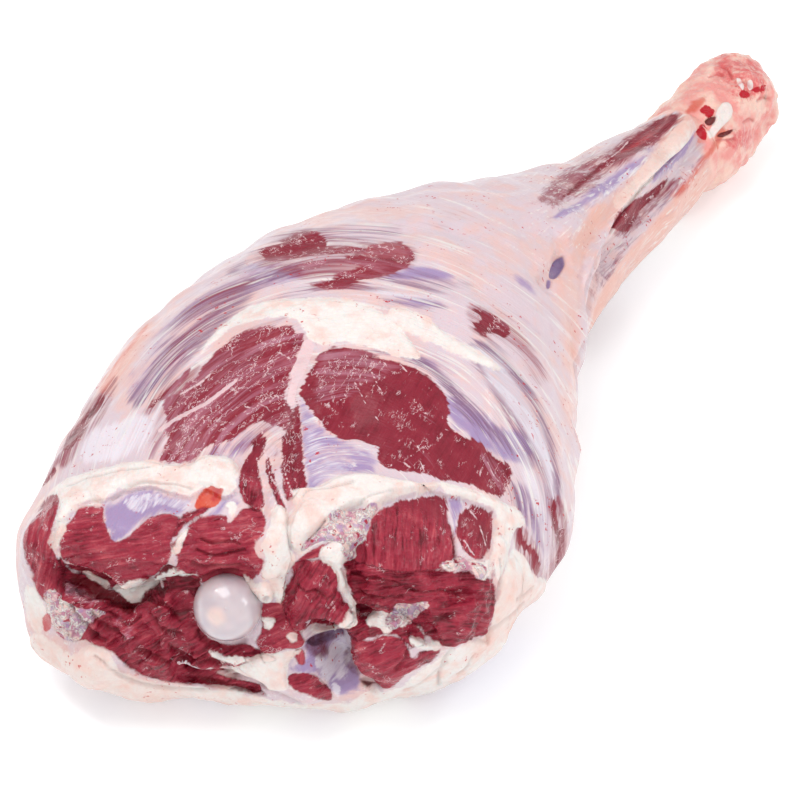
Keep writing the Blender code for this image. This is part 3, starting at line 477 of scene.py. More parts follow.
# Free edges that stand up: height and reach in millimetres, line with the raised side on its left
LIPS = {
    "sheath": (1.8, 7.0, (584, 316, 583, 295, 589, 274, 599, 250, 612, 226, 628, 203, 645, 184, 662, 166,
        682, 146, 698, 130)),
    "ridge": (1.4, 5.0, (52, 548, 58, 524, 66, 522, 78, 508, 92, 503, 103, 503, 112, 500, 122, 495,
        150, 489, 176, 497, 192, 500, 206, 492, 226, 500, 240, 490)),
    "right ridge": (1.4, 5.0, (372, 517, 378, 508, 394, 501, 412, 497, 432, 493, 446, 497, 462, 501,
        478, 507, 491, 513, 494, 528, 494, 545, 490, 562)),
    "upper lobe": (1.1, 6.0, (64, 566, 80, 574, 100, 582, 116, 592, 134, 592, 152, 582, 168, 571,
        190, 572)),
    "pocket": (1.6, 5.0, (300, 646, 308, 637, 322, 631, 338, 627, 352, 626, 357, 640, 353, 655, 360, 672)),
    "inner muscle": (1.0, 5.0, (284, 606, 282, 592, 289, 578, 292, 564, 310, 559)),
    "outer fold": (0.9, 5.0, (344, 568, 370, 572, 400, 574, 436, 572, 456, 566)),
    "fat top": (0.7, 6.0, (384, 312, 390, 326, 404, 334, 424, 342, 448, 353, 480, 366, 500, 371)),
}

# White strands over the muscle as the viewer sees them: half width in millimetres, line
STRANDS = {
    "tongue": (1.5, (309, 346, 304, 360, 298, 374, 293, 388, 291, 402)),
    "tongue wide": (2.4, (308, 346, 303, 360, 297, 374)),
    "hollow a": (0.43, (262, 428, 264, 450, 267, 460, 270, 474, 277, 486, 284, 500, 288, 512)),
    "hollow b": (0.43, (257, 458, 262, 478, 267, 492, 272, 507)),
    "hollow c": (0.43, (281, 425, 281, 445, 284, 465, 288, 485, 292, 496)),
    "left band": (0.81, (160, 431, 172, 421, 186, 413, 204, 404, 218, 394, 236, 380)),
    "left band high": (0.5, (180, 394, 200, 382, 212, 372)),
    "left wisp a": (0.31, (262, 380, 268, 372, 274, 380, 270, 392)),
    "left wisp b": (0.37, (258, 402, 272, 396, 284, 396)),
    "left wisp c": (0.31, (240, 402, 252, 408, 262, 404, 272, 412)),
    "left wisp d": (0.31, (268, 360, 278, 352, 290, 358, 294, 352)),
    "left wisp e": (0.31, (270, 350, 280, 344, 290, 342)),
    "middle wisp a": (0.28, (353, 378, 360, 392, 366, 404)),
    "middle wisp b": (0.31, (372, 372, 378, 385, 385, 400)),
    "middle wisp c": (0.31, (384, 362, 390, 370, 397, 372)),
    "middle wisp d": (0.31, (400, 364, 407, 371)),
    "middle wisp e": (0.25, (393, 424, 400, 420, 403, 411, 412, 408, 427, 413)),
    "middle wisp f": (0.31, (375, 416, 380, 421)),
    "middle wisp g": (0.25, (398, 441, 408, 437, 416, 443)),
    "middle wisp h": (0.28, (402, 459, 412, 455, 420, 452, 417, 445)),
    "middle wisp i": (0.31, (388, 467, 400, 461, 410, 467)),
    "middle wisp j": (0.28, (420, 460, 425, 474)),
    "middle wisp k": (0.25, (443, 405, 450, 403)),
    "middle wisp l": (0.31, (446, 429, 457, 432)),
    "middle wisp m": (0.31, (488, 462, 494, 475, 500, 483, 499, 496)),
    "middle wisp n": (0.25, (500, 472, 511, 467)),
    "right wisp a": (0.31, (470, 510, 478, 520)),
    "right wisp b": (0.31, (480, 525, 486, 545)),
    "right wisp c": (0.37, (464, 540, 470, 548, 474, 555)),
    "shank wisp": (0.31, (590, 168, 605, 161, 618, 152, 628, 142)),
}

# Dark creases as the viewer sees them, whose darkness is painted shade: half width and depth in millimetres,
# line
CREASES = {
    "right muscle": (0.7, 1.2, (453, 536, 455, 550, 456, 562)),
    "above the ball": (0.9, 1.2, (192, 584, 200, 578, 215, 575, 235, 574)),
    "under the ball": (1.3, 1.2, (198, 632, 210, 643, 228, 647, 244, 642)),
    "middle fold a": (0.5, 0.9, (202, 538, 214, 543, 230, 541, 240, 544)),
    "middle fold b": (0.5, 0.9, (198, 550, 212, 555, 226, 554, 244, 549)),
    "middle fold c": (0.6, 1.0, (192, 563, 206, 568, 222, 566, 240, 566)),
    "crag a": (0.8, 1.6, (110, 612, 120, 618, 128, 624, 140, 616)),
    "crag b": (0.7, 1.4, (92, 612, 100, 624, 112, 632, 125, 640)),
    "crag c": (0.7, 1.4, (150, 612, 158, 626, 168, 632, 182, 636)),
    "crag d": (0.8, 1.6, (136, 650, 150, 657, 168, 662, 190, 660)),
    "crag e": (0.7, 1.4, (170, 646, 180, 656, 190, 662, 206, 656)),
    "crag f": (0.7, 1.4, (150, 600, 160, 602, 170, 608, 180, 618)),
    "crag g": (0.8, 1.6, (196, 664, 212, 662, 226, 668, 240, 676)),
    "crag h": (0.7, 1.4, (70, 606, 80, 618, 90, 630, 104, 640)),
    "outer fold": (0.6, 0.9, (352, 572, 362, 577, 378, 578, 400, 583)),
    "outer fold low": (0.6, 1.0, (356, 590, 370, 596, 384, 598, 402, 598)),
    "outer fold end": (0.5, 0.9, (404, 588, 420, 592, 440, 590, 462, 594)),
    "inner fold": (0.6, 1.0, (296, 585, 306, 592, 316, 590, 326, 598)),
    "round lobe": (0.6, 1.0, (408, 650, 404, 660, 396, 670)),
    "clump edge": (0.4, 0.8, (308, 541, 315, 533, 324, 522)),
}

# Folds of the fat, same columns as the creases, with a little of their painted shade
FOLDS = {
    "right a": (0.5, 0.9, (486, 642, 489, 632, 500, 622, 512, 612, 521, 602)),
    "right b": (0.45, 0.8, (514, 598, 522, 594, 530, 587)),
    "right c": (0.5, 0.8, (438, 682, 439, 668, 446, 656, 456, 646, 472, 640, 486, 641)),
    "right d": (0.4, 0.6, (404, 688, 418, 682, 432, 672, 446, 660)),
    "right e": (0.4, 0.6, (456, 672, 466, 664, 474, 652)),
    "right f": (0.5, 0.8, (497, 598, 499, 580, 496, 562)),
    "low a": (0.4, 0.6, (262, 684, 272, 690, 284, 696, 300, 704)),
    "low b": (0.45, 0.8, (96, 656, 118, 672, 140, 682, 170, 687, 205, 689)),
    "clump": (0.4, 0.6, (340, 512, 356, 508, 372, 500, 390, 496)),
    "clump high": (0.4, 0.6, (300, 500, 312, 494, 330, 492, 352, 486)),
    "ridge": (0.4, 0.6, (70, 490, 96, 480, 124, 474, 150, 472)),
    "ridge low": (0.4, 0.6, (112, 500, 140, 486, 170, 488, 192, 492)),
    "sheath": (0.5, 0.9, (610, 232, 622, 214, 640, 190, 660, 170, 682, 148, 698, 130)),
}

# The hock as the viewer sees it: layer, softness of the edge in millimetres, outlines; the holes are painted
# shade
HOCK_SPOTS = (
    ("blood", 0.9, ((738, 93, 742, 90, 747, 91, 750, 96, 745, 99, 740, 97), (751, 90, 758, 86, 766, 84,
        764, 91, 757, 93), (700, 110, 705, 104, 713, 107, 715, 112, 711, 118, 705, 117), (698, 127,
        704, 124, 708, 132, 706, 139, 700, 137))),
    ("flush", 3.0, ((714, 64, 724, 54, 738, 56, 752, 60, 764, 74, 768, 90, 758, 100, 742, 103, 730, 96,
        726, 84, 717, 76), (727, 132, 741, 128, 755, 133, 750, 145, 737, 151, 724, 146))),
    ("white", 0.6, ((709, 131, 713, 123, 716, 112, 722, 104, 729, 103, 732, 110, 729, 120, 722, 127,
        717, 133, 712, 138), (736, 80, 740, 79, 744, 86, 741, 91), (747, 82, 751, 80, 753, 87, 749, 90))),
    ("amber", 1.6, ((686, 112, 690, 103, 698, 98, 706, 97, 702, 106, 692, 113), (714, 129, 722, 125,
        728, 132, 722, 142, 716, 152, 708, 160, 704, 156, 714, 144))),
    ("hole", 0.5, ((705, 121, 711, 116, 716, 117, 713, 124, 708, 125), (718, 136, 724, 132, 736, 129,
        726, 137))),
)
HOCK_LINES = (
    (0.5, (718, 140, 726, 140, 734, 139)),
    (0.5, (709, 76, 716, 73, 724, 76)),
    (0.4, (736, 86, 744, 82, 750, 88)),
    (0.6, (758, 100, 763, 97, 770, 99)),
    (0.4, (744, 122, 750, 119, 754, 121)),
    (0.4, (722, 66, 728, 70, 732, 78)),
)


def linear(red, green, blue):
    """A colour given in display values from 0 to 255, as linear light."""
    share = np.array([red, green, blue]) / 255.0
    bright = ((share + 0.055) / 1.055) ** 2.4
    return tuple(float(v) for v in np.where(share <= 0.04045, share / 12.92, bright))


# ---- shape ----


def smooth(stations, y):
    """Rows of values at each y: cubic pieces through the stations.

    The slope at a station is halfway between the harmonic and the weighted mean of the slopes beside it.
    """
    at = stations[:, 0]
    step = np.diff(at)[:, None]
    slope = np.diff(stations, axis=0) / step
    before, after = slope[:-1], slope[1:]
    even = np.where(before * after > 0, 2 * before * after / (before + after + 1e-12), 0)
    centred = (before * step[1:] + after * step[:-1]) / (step[1:] + step[:-1])
    tangent = np.vstack([slope[:1], 0.5 * (even + centred), slope[-1:]])
    y = np.atleast_1d(y)
    i = np.clip(np.searchsorted(at, y) - 1, 0, len(at) - 2)
    h = step[i]
    t = (y - at[i])[:, None] / h
    rows = (2 * t**3 - 3 * t**2 + 1) * stations[i] + (t**3 - 2 * t**2 + t) * h * tangent[i]
    return rows + (3 * t**2 - 2 * t**3) * stations[i + 1] + (t**3 - t**2) * h * tangent[i + 1]


def outline(rows, angle):
    """Rounded boxes: centre plus half width times the cosine to a power, height the same with the sine."""
    _, _, left, right, middle, bottom, top, height, upper, lower = rows.T[..., None]
    c, s = np.cos(angle), np.sin(angle)
    power = 2 / np.where(s >= 0, upper, lower)
    wide = np.where(c >= 0, right - middle, middle - left)
    tall = np.where(s >= 0, top - height, height - bottom)
    return (middle + wide * np.sign(c) * np.abs(c) ** power, height + tall * np.sign(s) * np.abs(s) ** power)


def placed(rows, x, z, push):
    """A cross-section's points in space: turned by its yaw about the upright, pushed along its normal."""
    yaw = np.radians(rows[..., 1])[..., None]
    y = rows[..., 0][..., None]
    return MIDLINE + np.stack([np.cos(yaw) * x - np.sin(yaw) * push, y + np.sin(yaw) * x + np.cos(yaw) * push,
                               z + 0 * push], axis=-1)


def face_points(x, z):
    """The domed cut face: depth times the root of one minus the share of the way to the rim, to a power."""
    row = MEAT[0]
    wide = np.where(x >= row[4], row[3] - row[4], row[4] - row[2])
    tall = np.where(z >= row[7], row[6] - row[7], row[7] - row[5])
    power = np.where(z >= row[7], row[8], row[9])
    share = (np.abs((x - row[4]) / wide) ** power + np.abs((z - row[7]) / tall) ** power) ** (1 / power)
    push = -FACE_DEPTH * (1 - np.minimum(share, 1) ** FACE_ROUND) ** (1 / FACE_ROUND)
    return placed(row, x, z, push)


def end_rings(row, depth, shares, angle):
    """Rings of a round end, shrunk by the cosine and moved out by the sine of a share of a quarter turn."""
    x, z = outline(row[None], angle)
    turn = shares[:, None] * TURN / 4
    middle, height = row[4], row[7]
    rows = np.repeat(row[None], len(shares), axis=0)
    return placed(rows, middle + np.cos(turn) * (x - middle), height + np.cos(turn) * (z - height),
                  depth * np.sin(turn))


def distances(points, line):
    """Shortest distance from each point to a line of straight pieces."""
    line = np.asarray(line, float)
    if len(line) == 1:
        return np.linalg.norm(points - line[0], axis=-1)
    best = np.full(points.shape[:-1], 1e9)
    for a, b in zip(line[:-1], line[1:]):
        along = np.clip((points - a) @ (b - a) / ((b - a) @ (b - a) + 1e-9), 0, 1)
        best = np.minimum(best, np.linalg.norm(points - a - along[..., None] * (b - a), axis=-1))
    return best


def rolled(points, closed, steps=4):
    """A smooth line through the given places: cubics whose slope at a place is half the step past it."""
    p = np.asarray(points, float).reshape(-1, 2)
    before = np.roll(p, 1, 0) if closed else np.vstack([p[:1], p[:-1]])
    after = np.roll(p, -1, 0) if closed else np.vstack([p[1:], p[-1:]])
    last = np.roll(p, -2, 0) if closed else np.vstack([p[2:], p[-1:], p[-1:]])
    t = (np.arange(steps) / steps)[None, :, None]
    a, b, c, d = (v[:, None] for v in (before, p, after, last))
    curve = 0.5 * (2 * b + (c - a) * t + (2 * a - 5 * b + 4 * c - d) * t**2
                   + (3 * b - a - 3 * c + d) * t**3)
    if closed:
        return curve.reshape(-1, 2)
    return np.vstack([curve[:-1].reshape(-1, 2), p[-1:]])


def within(points, shape, reach=16.0):
    """Signed distance to a closed outline, positive inside, no more than the reach outside."""
    shape = rolled(shape, True)
    low, high = shape.min(0) - reach, shape.max(0) + reach
    near = np.all((points > low) & (points < high), axis=-1)
    found = np.full(len(points), -reach)
    if not near.any():
        return found
    p = points[near]
    distance = distances(p, np.vstack([shape, shape[:1]]))
    inside = np.zeros(len(p), bool)
    for a, b in zip(shape, np.roll(shape, -1, 0)):
        crosses = (a[1] > p[:, 1]) != (b[1] > p[:, 1])
        rise = b[1] - a[1] if abs(b[1] - a[1]) >= 1e-9 else 1e-9
        at = a[0] + (p[:, 1] - a[1]) * (b[0] - a[0]) / rise
        inside ^= crosses & (p[:, 0] < at)
    found[near] = np.maximum(np.where(inside, distance, -distance), -reach)
    return found


def beside(points, line, reach=16.0):
    """Distance to an open line, no more than the reach."""
    line = rolled(line, False)
    low, high = line.min(0) - reach, line.max(0) + reach
    near = np.all((points > low) & (points < high), axis=-1)
    found = np.full(len(points), reach)
    if near.any():
        found[near] = np.minimum(distances(points[near], line), reach)
    return found


def beyond(points, line, reach=16.0):
    """Distance to the left of an open line, negative to its right; far from it, minus the reach."""
    line = rolled(line, False)
    low, high = line.min(0) - 3 * reach, line.max(0) + 3 * reach
    near = np.all((points > low) & (points < high), axis=-1)
    found = np.full(len(points), -reach)
    if near.any():
        p = points[near]
        best, side = np.full(len(p), 1e9), np.full(len(p), -1.0)
        for a, b in zip(line[:-1], line[1:]):
            way = b - a
            along = (p - a) @ way / (way @ way + 1e-9)
            offset = p - a - np.clip(along, 0, 1)[:, None] * way
            distance = np.linalg.norm(offset, axis=-1)
            left = offset[:, 1] * way[0] - offset[:, 0] * way[1] < 0
            ended = (along < -0.2) & (a is line[0]) | (along > 1.2) & (b is line[-1])
            value = np.where(left & ~ended, distance, -distance)
            closer = distance < best
            best = np.where(closer, distance, best)
            side = np.where(closer, value, side)
        found[near] = side
    return found


def hashed(cells, seed):
    """A fixed pseudo-random value from -1 to 1 for each whole-number cell."""
    n = (cells[..., 0] * 73856093) ^ (cells[..., 1] * 19349663) ^ (cells[..., 2] * 83492791)
    n = n ^ (seed * 2654435761)
    n = (n ^ (n >> 13)) * 1274126177
    n = (n ^ (n >> 16)) & 0xFFFFFF
    return n / 8388607.5 - 1


def ripple(points, size, seed, octaves=3):
    """Soft noise: values at the corners of cells of the given size, blended smoothly, plus halved copies."""
    total, share = np.zeros(points.shape[:-1]), 1.0
    for octave in range(octaves):
        p = points / (size / 2**octave) + 17.3 * octave
        cell = np.floor(p).astype(np.int64)
        f = p - cell
        f = f * f * (3 - 2 * f)
        value = 0
        for corner in np.ndindex(2, 2, 2):
            weight = np.prod(np.where(np.array(corner) == 1, f, 1 - f), axis=-1)
            value = value + weight * hashed(cell + np.array(corner), seed + octave)
        total += share * value
        share *= 0.5
    return total


def step(low, high, value):
    """Smooth step from 0 at low to 1 at high."""
    t = np.clip((value - low) / (high - low), 0, 1)
    return t * t * (3 - 2 * t)


def normals(grid, first, last):
    """Outward directions of rings: the step to the next ring crossed with the step round the ring."""
    ends = [np.broadcast_to(pole, grid[:1].shape) for pole in (first, last)]
    full = np.concatenate([ends[0], grid, ends[1]])
    round_step = np.roll(grid, -1, axis=1) - np.roll(grid, 1, axis=1)
    direction = np.cross(full[2:] - full[:-2], round_step)
    return direction / (np.linalg.norm(direction, axis=-1, keepdims=True) + 1e-12)


def view_axes():
    """The viewer's place and its right, up and back directions."""
    a, e = math.radians(VIEW_ROUND), math.radians(VIEW_ABOVE)
    back = np.array([math.sin(a) * math.cos(e), -math.cos(a) * math.cos(e), math.sin(e)])
    right = np.array([math.cos(a), math.sin(a), 0.0])
    return VIEW_AIM + VIEW_FAR * back, right, np.cross(back, right), back


def seen(points):
    """Where each point lies in the picture, in picture points from the top left."""
    eye, right, up, back = view_axes()
    d = points - eye
    far = -(d @ back)
    across, down = VIEW_FOCAL * (d @ right) / far, -VIEW_FOCAL * (d @ up) / far
    return PICTURE / 2 + np.stack([across, down], axis=-1)


def facing(points, out):
    """Cosine between the surface and the way to the viewer."""
    ray = view_axes()[0] - points
    return np.sum(out * ray, axis=-1) / np.linalg.norm(ray, axis=-1)


def relief(points):
    """Height of the main lobes, seams and folds: each a bump that fades with distance from its line.

    Three products of sines along the three axes, each shorter and lower, add slow waves.
    """
    height = np.zeros(points.shape[:-1])
    lines = [(face_points(*np.array(line, float).T), width, rise)
             for line, width, rise in FACE_RELIEF.values()]
    for line, width, rise in BODY_RELIEF.values():
        dense = np.concatenate([np.linspace(a, b, 9) for a, b in zip(line[:-1], line[1:])])
        rows = smooth(MEAT, dense[:, 0])
        x, z = zip(*[outline(row[None], np.radians(d)) for row, d in zip(rows, dense[:, 1])])
        lines.append((placed(rows, np.reshape(x, (-1, 1)), np.reshape(z, (-1, 1)), 0.0)[:, 0], width, rise))
    for line, width, rise in lines:
        height += rise * np.exp(-(distances(points, line) / width) ** 2.6)
    for wave, (length, size) in enumerate(((47.0, 0.7), (29.0, 0.4), (17.0, 0.12))):
        turn = np.array([0.8 + wave, 2.1 * wave, 1.3 - wave])
        height += size * np.prod(np.sin(TURN * points / length + turn), axis=-1) * 2
    return height


# ---- paint: where each tissue lies ----


def painted(points, out):
    """Layers over the surface: signed distances to muscle, fat and strands, and strengths of the rest."""
    picture = seen(points)
    towards = facing(points, out)
    count = len(points)
    layers = {name: np.full(count, FAR_OUT) for name in ("muscle", "fat", "strand")}
    layers.update({name: np.zeros(count) for name in (
        "silver", "tone", "crease", "lift", "veil", "shade", "warm", "stain", "rust", "gleam", "foam",
        "dark")})
    hidden = 1 - step(EDGE_ON, FACE_ON, towards)
    layers.update(hock_spots(picture, 1 - hidden))
    fibre = np.zeros((count, 3))
    # Where outlines of muscle overlap, the deeper one gives its tone, film and fibres
    for number, (tone, veil, degrees, shape) in enumerate(MUSCLES.values()):
        depth = within(picture, shape) / SCALE
        best = depth > layers["muscle"]
        layers["muscle"] = np.maximum(layers["muscle"], depth)
        layers["tone"] = np.where(best & (depth > -2), tone, layers["tone"])
        layers["veil"] = np.where(best & (depth > -2), veil, layers["veil"])
        a = math.radians(degrees)
        along = (picture @ (math.cos(a), -math.sin(a))) / SCALE
        across = (picture @ (math.sin(a), math.cos(a))) / SCALE
        turned = np.stack([along, across, np.full(count, 31.0 * number)], axis=-1)
        fibre = np.where((best & (depth > -2))[:, None], turned, fibre)
    for rise, shape in FATS.values():
        depth = within(picture, shape) / SCALE
        layers["fat"] = np.maximum(layers["fat"], depth)
        layers["lift"] = np.maximum(layers["lift"], rise * step(-0.3, 2.5, depth))
    for strength, shape in SILVER.values():
        film = strength * step(-2.0, 2.5, within(picture, shape) / SCALE)
        layers["silver"] = np.maximum(layers["silver"], film)
    for name, strength, edge, shape in PATCHES.values():
        soft = strength * step(-edge, edge, within(picture, shape) / SCALE)
        layers[name] = np.maximum(layers[name], soft)
    for width, line in STRANDS.values():
        layers["strand"] = np.maximum(layers["strand"], width - beside(picture, line) / SCALE)
    # The creases, folds and hollows dent the surface, and their crease layer holds painted shade
    dent = np.zeros(count)
    for table, darkness in ((CREASES, 1.0), (FOLDS, 0.3)):
        for width, depth, line in table.values():
            near = np.exp(-(beside(picture, line) / SCALE / width) ** 2.2)
            dent = np.maximum(dent, depth * near)
            layers["crease"] = np.maximum(layers["crease"], darkness * near)
    for depth, lilac, shape in HOLLOWS.values():
        sunk = step(-0.4, 0.9, within(picture, shape) / SCALE)
        layers["silver"] = np.maximum(layers["silver"], lilac * sunk)
        dent = np.maximum(dent, depth * sunk)
        layers["crease"] = np.maximum(layers["crease"], (0.45 - 0.2 * lilac) * sunk)
    for rise, reach, line in LIPS.values():
        off = beyond(picture, line) / SCALE
        dent = dent - rise * step(-0.15, 0.5, off) * np.exp(-np.maximum(off, 0) / reach)
    # The hidden sides have patches of their own, laid by noise along the leg
    window = ripple(points * (1, 0.6, 1), 42.0, 5, 3) + 0.3 * ripple(points * (1, 0.35, 1), 11.0, 21, 3)
    patch = ripple(points * (1, 0.5, 1), 30.0, 9, 2)
    fat_depth = (patch - 0.35) * 12
    generic = {"rust": 0.0, "foam": 0.0, "dark": 0.0, "blood": 0.0, "crease": 0.0, "strand": FAR_OUT,
               "tone": -0.1, "veil": 0.5, "stain": 0.8 * step(0.0, 0.7, window),
               "muscle": (window - 0.66) * 12, "fat": fat_depth, "lift": 0.5 * step(-0.3, 3.0, fat_depth),
               "gleam": 0.6 * step(0.0, 0.8, ripple(points * (1, 0.3, 1), 22.0, 19, 2)),
               "silver": 0.6 * step(0.0, 0.6, ripple(points * (1, 0.4, 1), 24.0, 3, 2)),
               "shade": 0.7 * step(0.1, 0.8, ripple(points * (1, 0.4, 1), 26.0, 13, 2)),
               "warm": 0.7 * step(0.1, 0.8, ripple(points * (1, 0.5, 1), 34.0, 15, 2))}
    for name, value in generic.items():
        layers[name] = layers[name] * (1 - hidden) + value * hidden
    layers["dent"] = dent * (1 - hidden)
    own = np.stack([points[:, 1], points[:, 2], points[:, 0]], axis=-1)
    layers["fibre"] = np.where(((hidden > 0.5) | (layers["muscle"] < -2))[:, None], own, fibre)
    # The streaks curve round one centre; the turned axes put the cut of the angle out of sight
    from_centre = (picture - SWEEP_CENTRE) / SCALE
    turn = np.arctan2(from_centre @ (0.8, 0.6), from_centre @ (0.6, -0.8))
    layers["sweep"] = np.stack([np.linalg.norm(from_centre, axis=-1), 25 * turn, np.zeros(count)], axis=-1)
    fork = step(-12, 30, (picture - (545, 280)) @ (0.7, -0.7) / SCALE)
    layers["along"] = np.maximum(fork, hidden)
    layers["gristle"] = step(140, 160, points[:, 1] - MIDLINE[1])
    return layers


def hock_spots(picture, front):
    """Strengths of the hock's own spots, the same on the hock and on the last of the shank."""
    layers = {}
    for name, soft, shapes in HOCK_SPOTS:
        layers[name] = np.max([step(-soft, soft, within(picture, s) / SCALE) for s in shapes], axis=0) * front
    lines = np.max([np.exp(-(beside(picture, s) / SCALE / r) ** 2) for r, s in HOCK_LINES], axis=0)
    layers["line"] = lines * front
    layers["flush"] = np.maximum(layers["flush"], (1 - front) * 0.4)
    return layers


# ---- meshes ----


def skin(name, grid, out, layers, first=None, last=None):
    """A mesh over rings of points, closed round, with a fan at each end where a pole is given."""
    rows, around = grid.shape[:2]
    points, turned = grid.reshape(-1, 3), out.reshape(-1, 3)
    i, j = np.meshgrid(np.arange(rows - 1), np.arange(around), indexing="ij")
    k = (j + 1) % around
    quads = np.stack([i * around + j, (i + 1) * around + j, (i + 1) * around + k, i * around + k], axis=-1)
    quads = quads.reshape(-1, 4)
    fans = []
    j = np.arange(around)
    k = (j + 1) % around
    extra = {key: [value] for key, value in layers.items()}
    for pole, base, flip in ((first, 0, False), (last, (rows - 1) * around, True)):
        if pole is None:
            continue
        tip = np.full(around, len(points))
        points = np.vstack([points, pole])
        mean = out[0 if base == 0 else -1].mean(axis=0)
        turned = np.vstack([turned, mean / np.linalg.norm(mean)])
        for key, value in layers.items():
            extra[key].append(value[base:base + 1])
        fans.append(np.stack([tip, base + k, base + j] if flip else [tip, base + j, base + k], axis=-1))
    mesh = bpy.data.meshes.new(name)
    mesh.vertices.add(len(points))
    mesh.vertices.foreach_set("co", (points * MM).astype(np.float32).ravel())
    corners = np.concatenate([quads.ravel()] + [fan.ravel() for fan in fans])
    sizes = np.concatenate([np.full(len(quads), 4)] + [np.full(len(fan), 3) for fan in fans])
    mesh.loops.add(len(corners))
    mesh.loops.foreach_set("vertex_index", corners.astype(np.int32))
    mesh.polygons.add(len(sizes))
    mesh.polygons.foreach_set("loop_start", np.concatenate([[0], np.cumsum(sizes)[:-1]]).astype(np.int32))
    mesh.update(calc_edges=True)
    mesh.polygons.foreach_set("use_smooth", np.ones(len(sizes), bool))
    for key, values in extra.items():
        value = np.concatenate(values)
        kind = "FLOAT_VECTOR" if value.ndim == 2 else "FLOAT"
        layer = mesh.attributes.new(key, kind, "POINT")
        layer.data.foreach_set("vector" if value.ndim == 2 else "value", value.astype(np.float32).ravel())
    mesh.normals_split_custom_set_from_vertices(turned.astype(np.float32).tolist())
    mesh.update()
    obj = bpy.data.objects.new(name, mesh)
    bpy.context.scene.collection.objects.link(obj)
    return obj


def dress(obj, material, node):
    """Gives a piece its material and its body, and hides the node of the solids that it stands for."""
    obj.data.materials.append(material)
    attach(obj, "root")
    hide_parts(node)


# ---- materials ----


class Wiring:
    """Adds shader nodes to a material and hands back their output sockets."""

    def __init__(self, name):
        self.material = bpy.data.materials.new(name)
        self.material.use_nodes = True
        self.tree = self.material.node_tree
        self.shader = self.tree.nodes["Principled BSDF"]
        self.place = self.tree.nodes.new("ShaderNodeTexCoord").outputs["Object"]

    def put(self, socket, value):
        """Links a socket to a value that is a socket too, or sets it."""
        if isinstance(value, bpy.types.NodeSocket):
            self.tree.links.new(value, socket)
        elif value is not None:
            socket.default_value = (*value, 1.0) if socket.type == "RGBA" else value

    def layer(self, name, vector=False):
        """A painted layer of the surface."""
        node = self.tree.nodes.new("ShaderNodeAttribute")
        node.attribute_name = name
        return node.outputs["Vector" if vector else "Fac"]

    def noise(self, vector, size, detail=3.0, rough=0.55, stretch=(1, 1, 1)):
        """Noise with features about this many units of the vector across, longer where stretch is above 1."""
        mapping = self.tree.nodes.new("ShaderNodeMapping")
        mapping.inputs["Scale"].default_value = tuple(1.0 / (size * s) for s in stretch)
        self.put(mapping.inputs["Vector"], vector)
        node = self.tree.nodes.new("ShaderNodeTexNoise")
        node.inputs["Scale"].default_value = 1.0
        node.inputs["Detail"].default_value = detail
        node.inputs["Roughness"].default_value = rough
        self.put(node.inputs["Vector"], mapping.outputs["Vector"])
        return node.outputs["Fac"]

    def bent(self, vector, size, amount):
        """The vector moved about by noise, up to half the amount each way."""
        node = self.tree.nodes.new("ShaderNodeTexNoise")
        node.inputs["Scale"].default_value = 1.0 / size
        node.inputs["Detail"].default_value = 1.0
        self.put(node.inputs["Vector"], vector)
        move = self.tree.nodes.new("ShaderNodeVectorMath")
        move.operation = "MULTIPLY_ADD"
        self.put(move.inputs[0], node.outputs["Color"])
        move.inputs[1].default_value = (amount,) * 3
        self.put(move.inputs[2], vector)
        return move.outputs["Vector"]

    def lace(self, vector, size):
        """Distance to the nearest edge of a net of uneven cells, as a share of their size."""
        node = self.tree.nodes.new("ShaderNodeTexVoronoi")
        node.feature = "DISTANCE_TO_EDGE"
        node.inputs["Scale"].default_value = 1.0 / size
        self.put(node.inputs["Vector"], vector)
        return node.outputs["Distance"]

    def math(self, operation, a, b=None):
        node = self.tree.nodes.new("ShaderNodeMath")
        node.operation = operation
        self.put(node.inputs[0], a)
        self.put(node.inputs[1], b)
        return node.outputs["Value"]

    def plus(self, a, b):
        return self.math("ADD", a, b)

    def minus(self, a, b):
        return self.math("SUBTRACT", a, b)

    def times(self, a, b):
        return self.math("MULTIPLY", a, b)

    def centred(self, value, gain):
        """A share from 0 to 1 as a value about zero, with a gain."""
        return self.times(self.minus(value, 0.5), gain)

    def between(self, value, low, high, start=0.0, end=1.0):
        """Smooth step of a value from start at low to end at high."""
        node = self.tree.nodes.new("ShaderNodeMapRange")
        node.interpolation_type = "SMOOTHSTEP"
        for key, number in (("Value", value), ("From Min", low), ("From Max", high), ("To Min", start),
                            ("To Max", end)):
            self.put(node.inputs[key], number)
        return node.outputs["Result"]

    def blend(self, share, a, b):
        """Colour a, with a share of colour b over it."""
        node = self.tree.nodes.new("ShaderNodeMix")
        node.data_type = "RGBA"
        for socket, value in zip([s for s in node.inputs if s.enabled], (share, a, b)):
            self.put(socket, value)
        return next(s for s in node.outputs if s.enabled)

    def bump(self, height, distance, strength=1.0, below=None):
        """Small relief in the light, with a height of 1 as so many metres, over the relief below it."""
        node = self.tree.nodes.new("ShaderNodeBump")
        node.inputs["Strength"].default_value = strength
        node.inputs["Distance"].default_value = distance
        self.put(node.inputs["Height"], height)
        self.put(node.inputs["Normal"], below)
        return node.outputs["Normal"]

    def finish(self, colour, roughness, normal, flesh, coat, shine=0.16):
        """Fills the shader: flesh is the light spread below the surface, coat and shine the wet gloss."""
        s = self.shader.inputs
        self.put(s["Base Color"], colour)
        self.put(s["Roughness"], roughness)
        self.put(s["Normal"], normal)
        s["Subsurface Weight"].default_value = flesh
        s["Subsurface Radius"].default_value = (1.0, 0.35, 0.25)
        s["Subsurface Scale"].default_value = 0.0022
        s["Coat Weight"].default_value = coat
        s["Coat Roughness"].default_value = 0.12
        s["Coat IOR"].default_value = 1.38
        s["Specular IOR Level"].default_value = shine
        return self.material


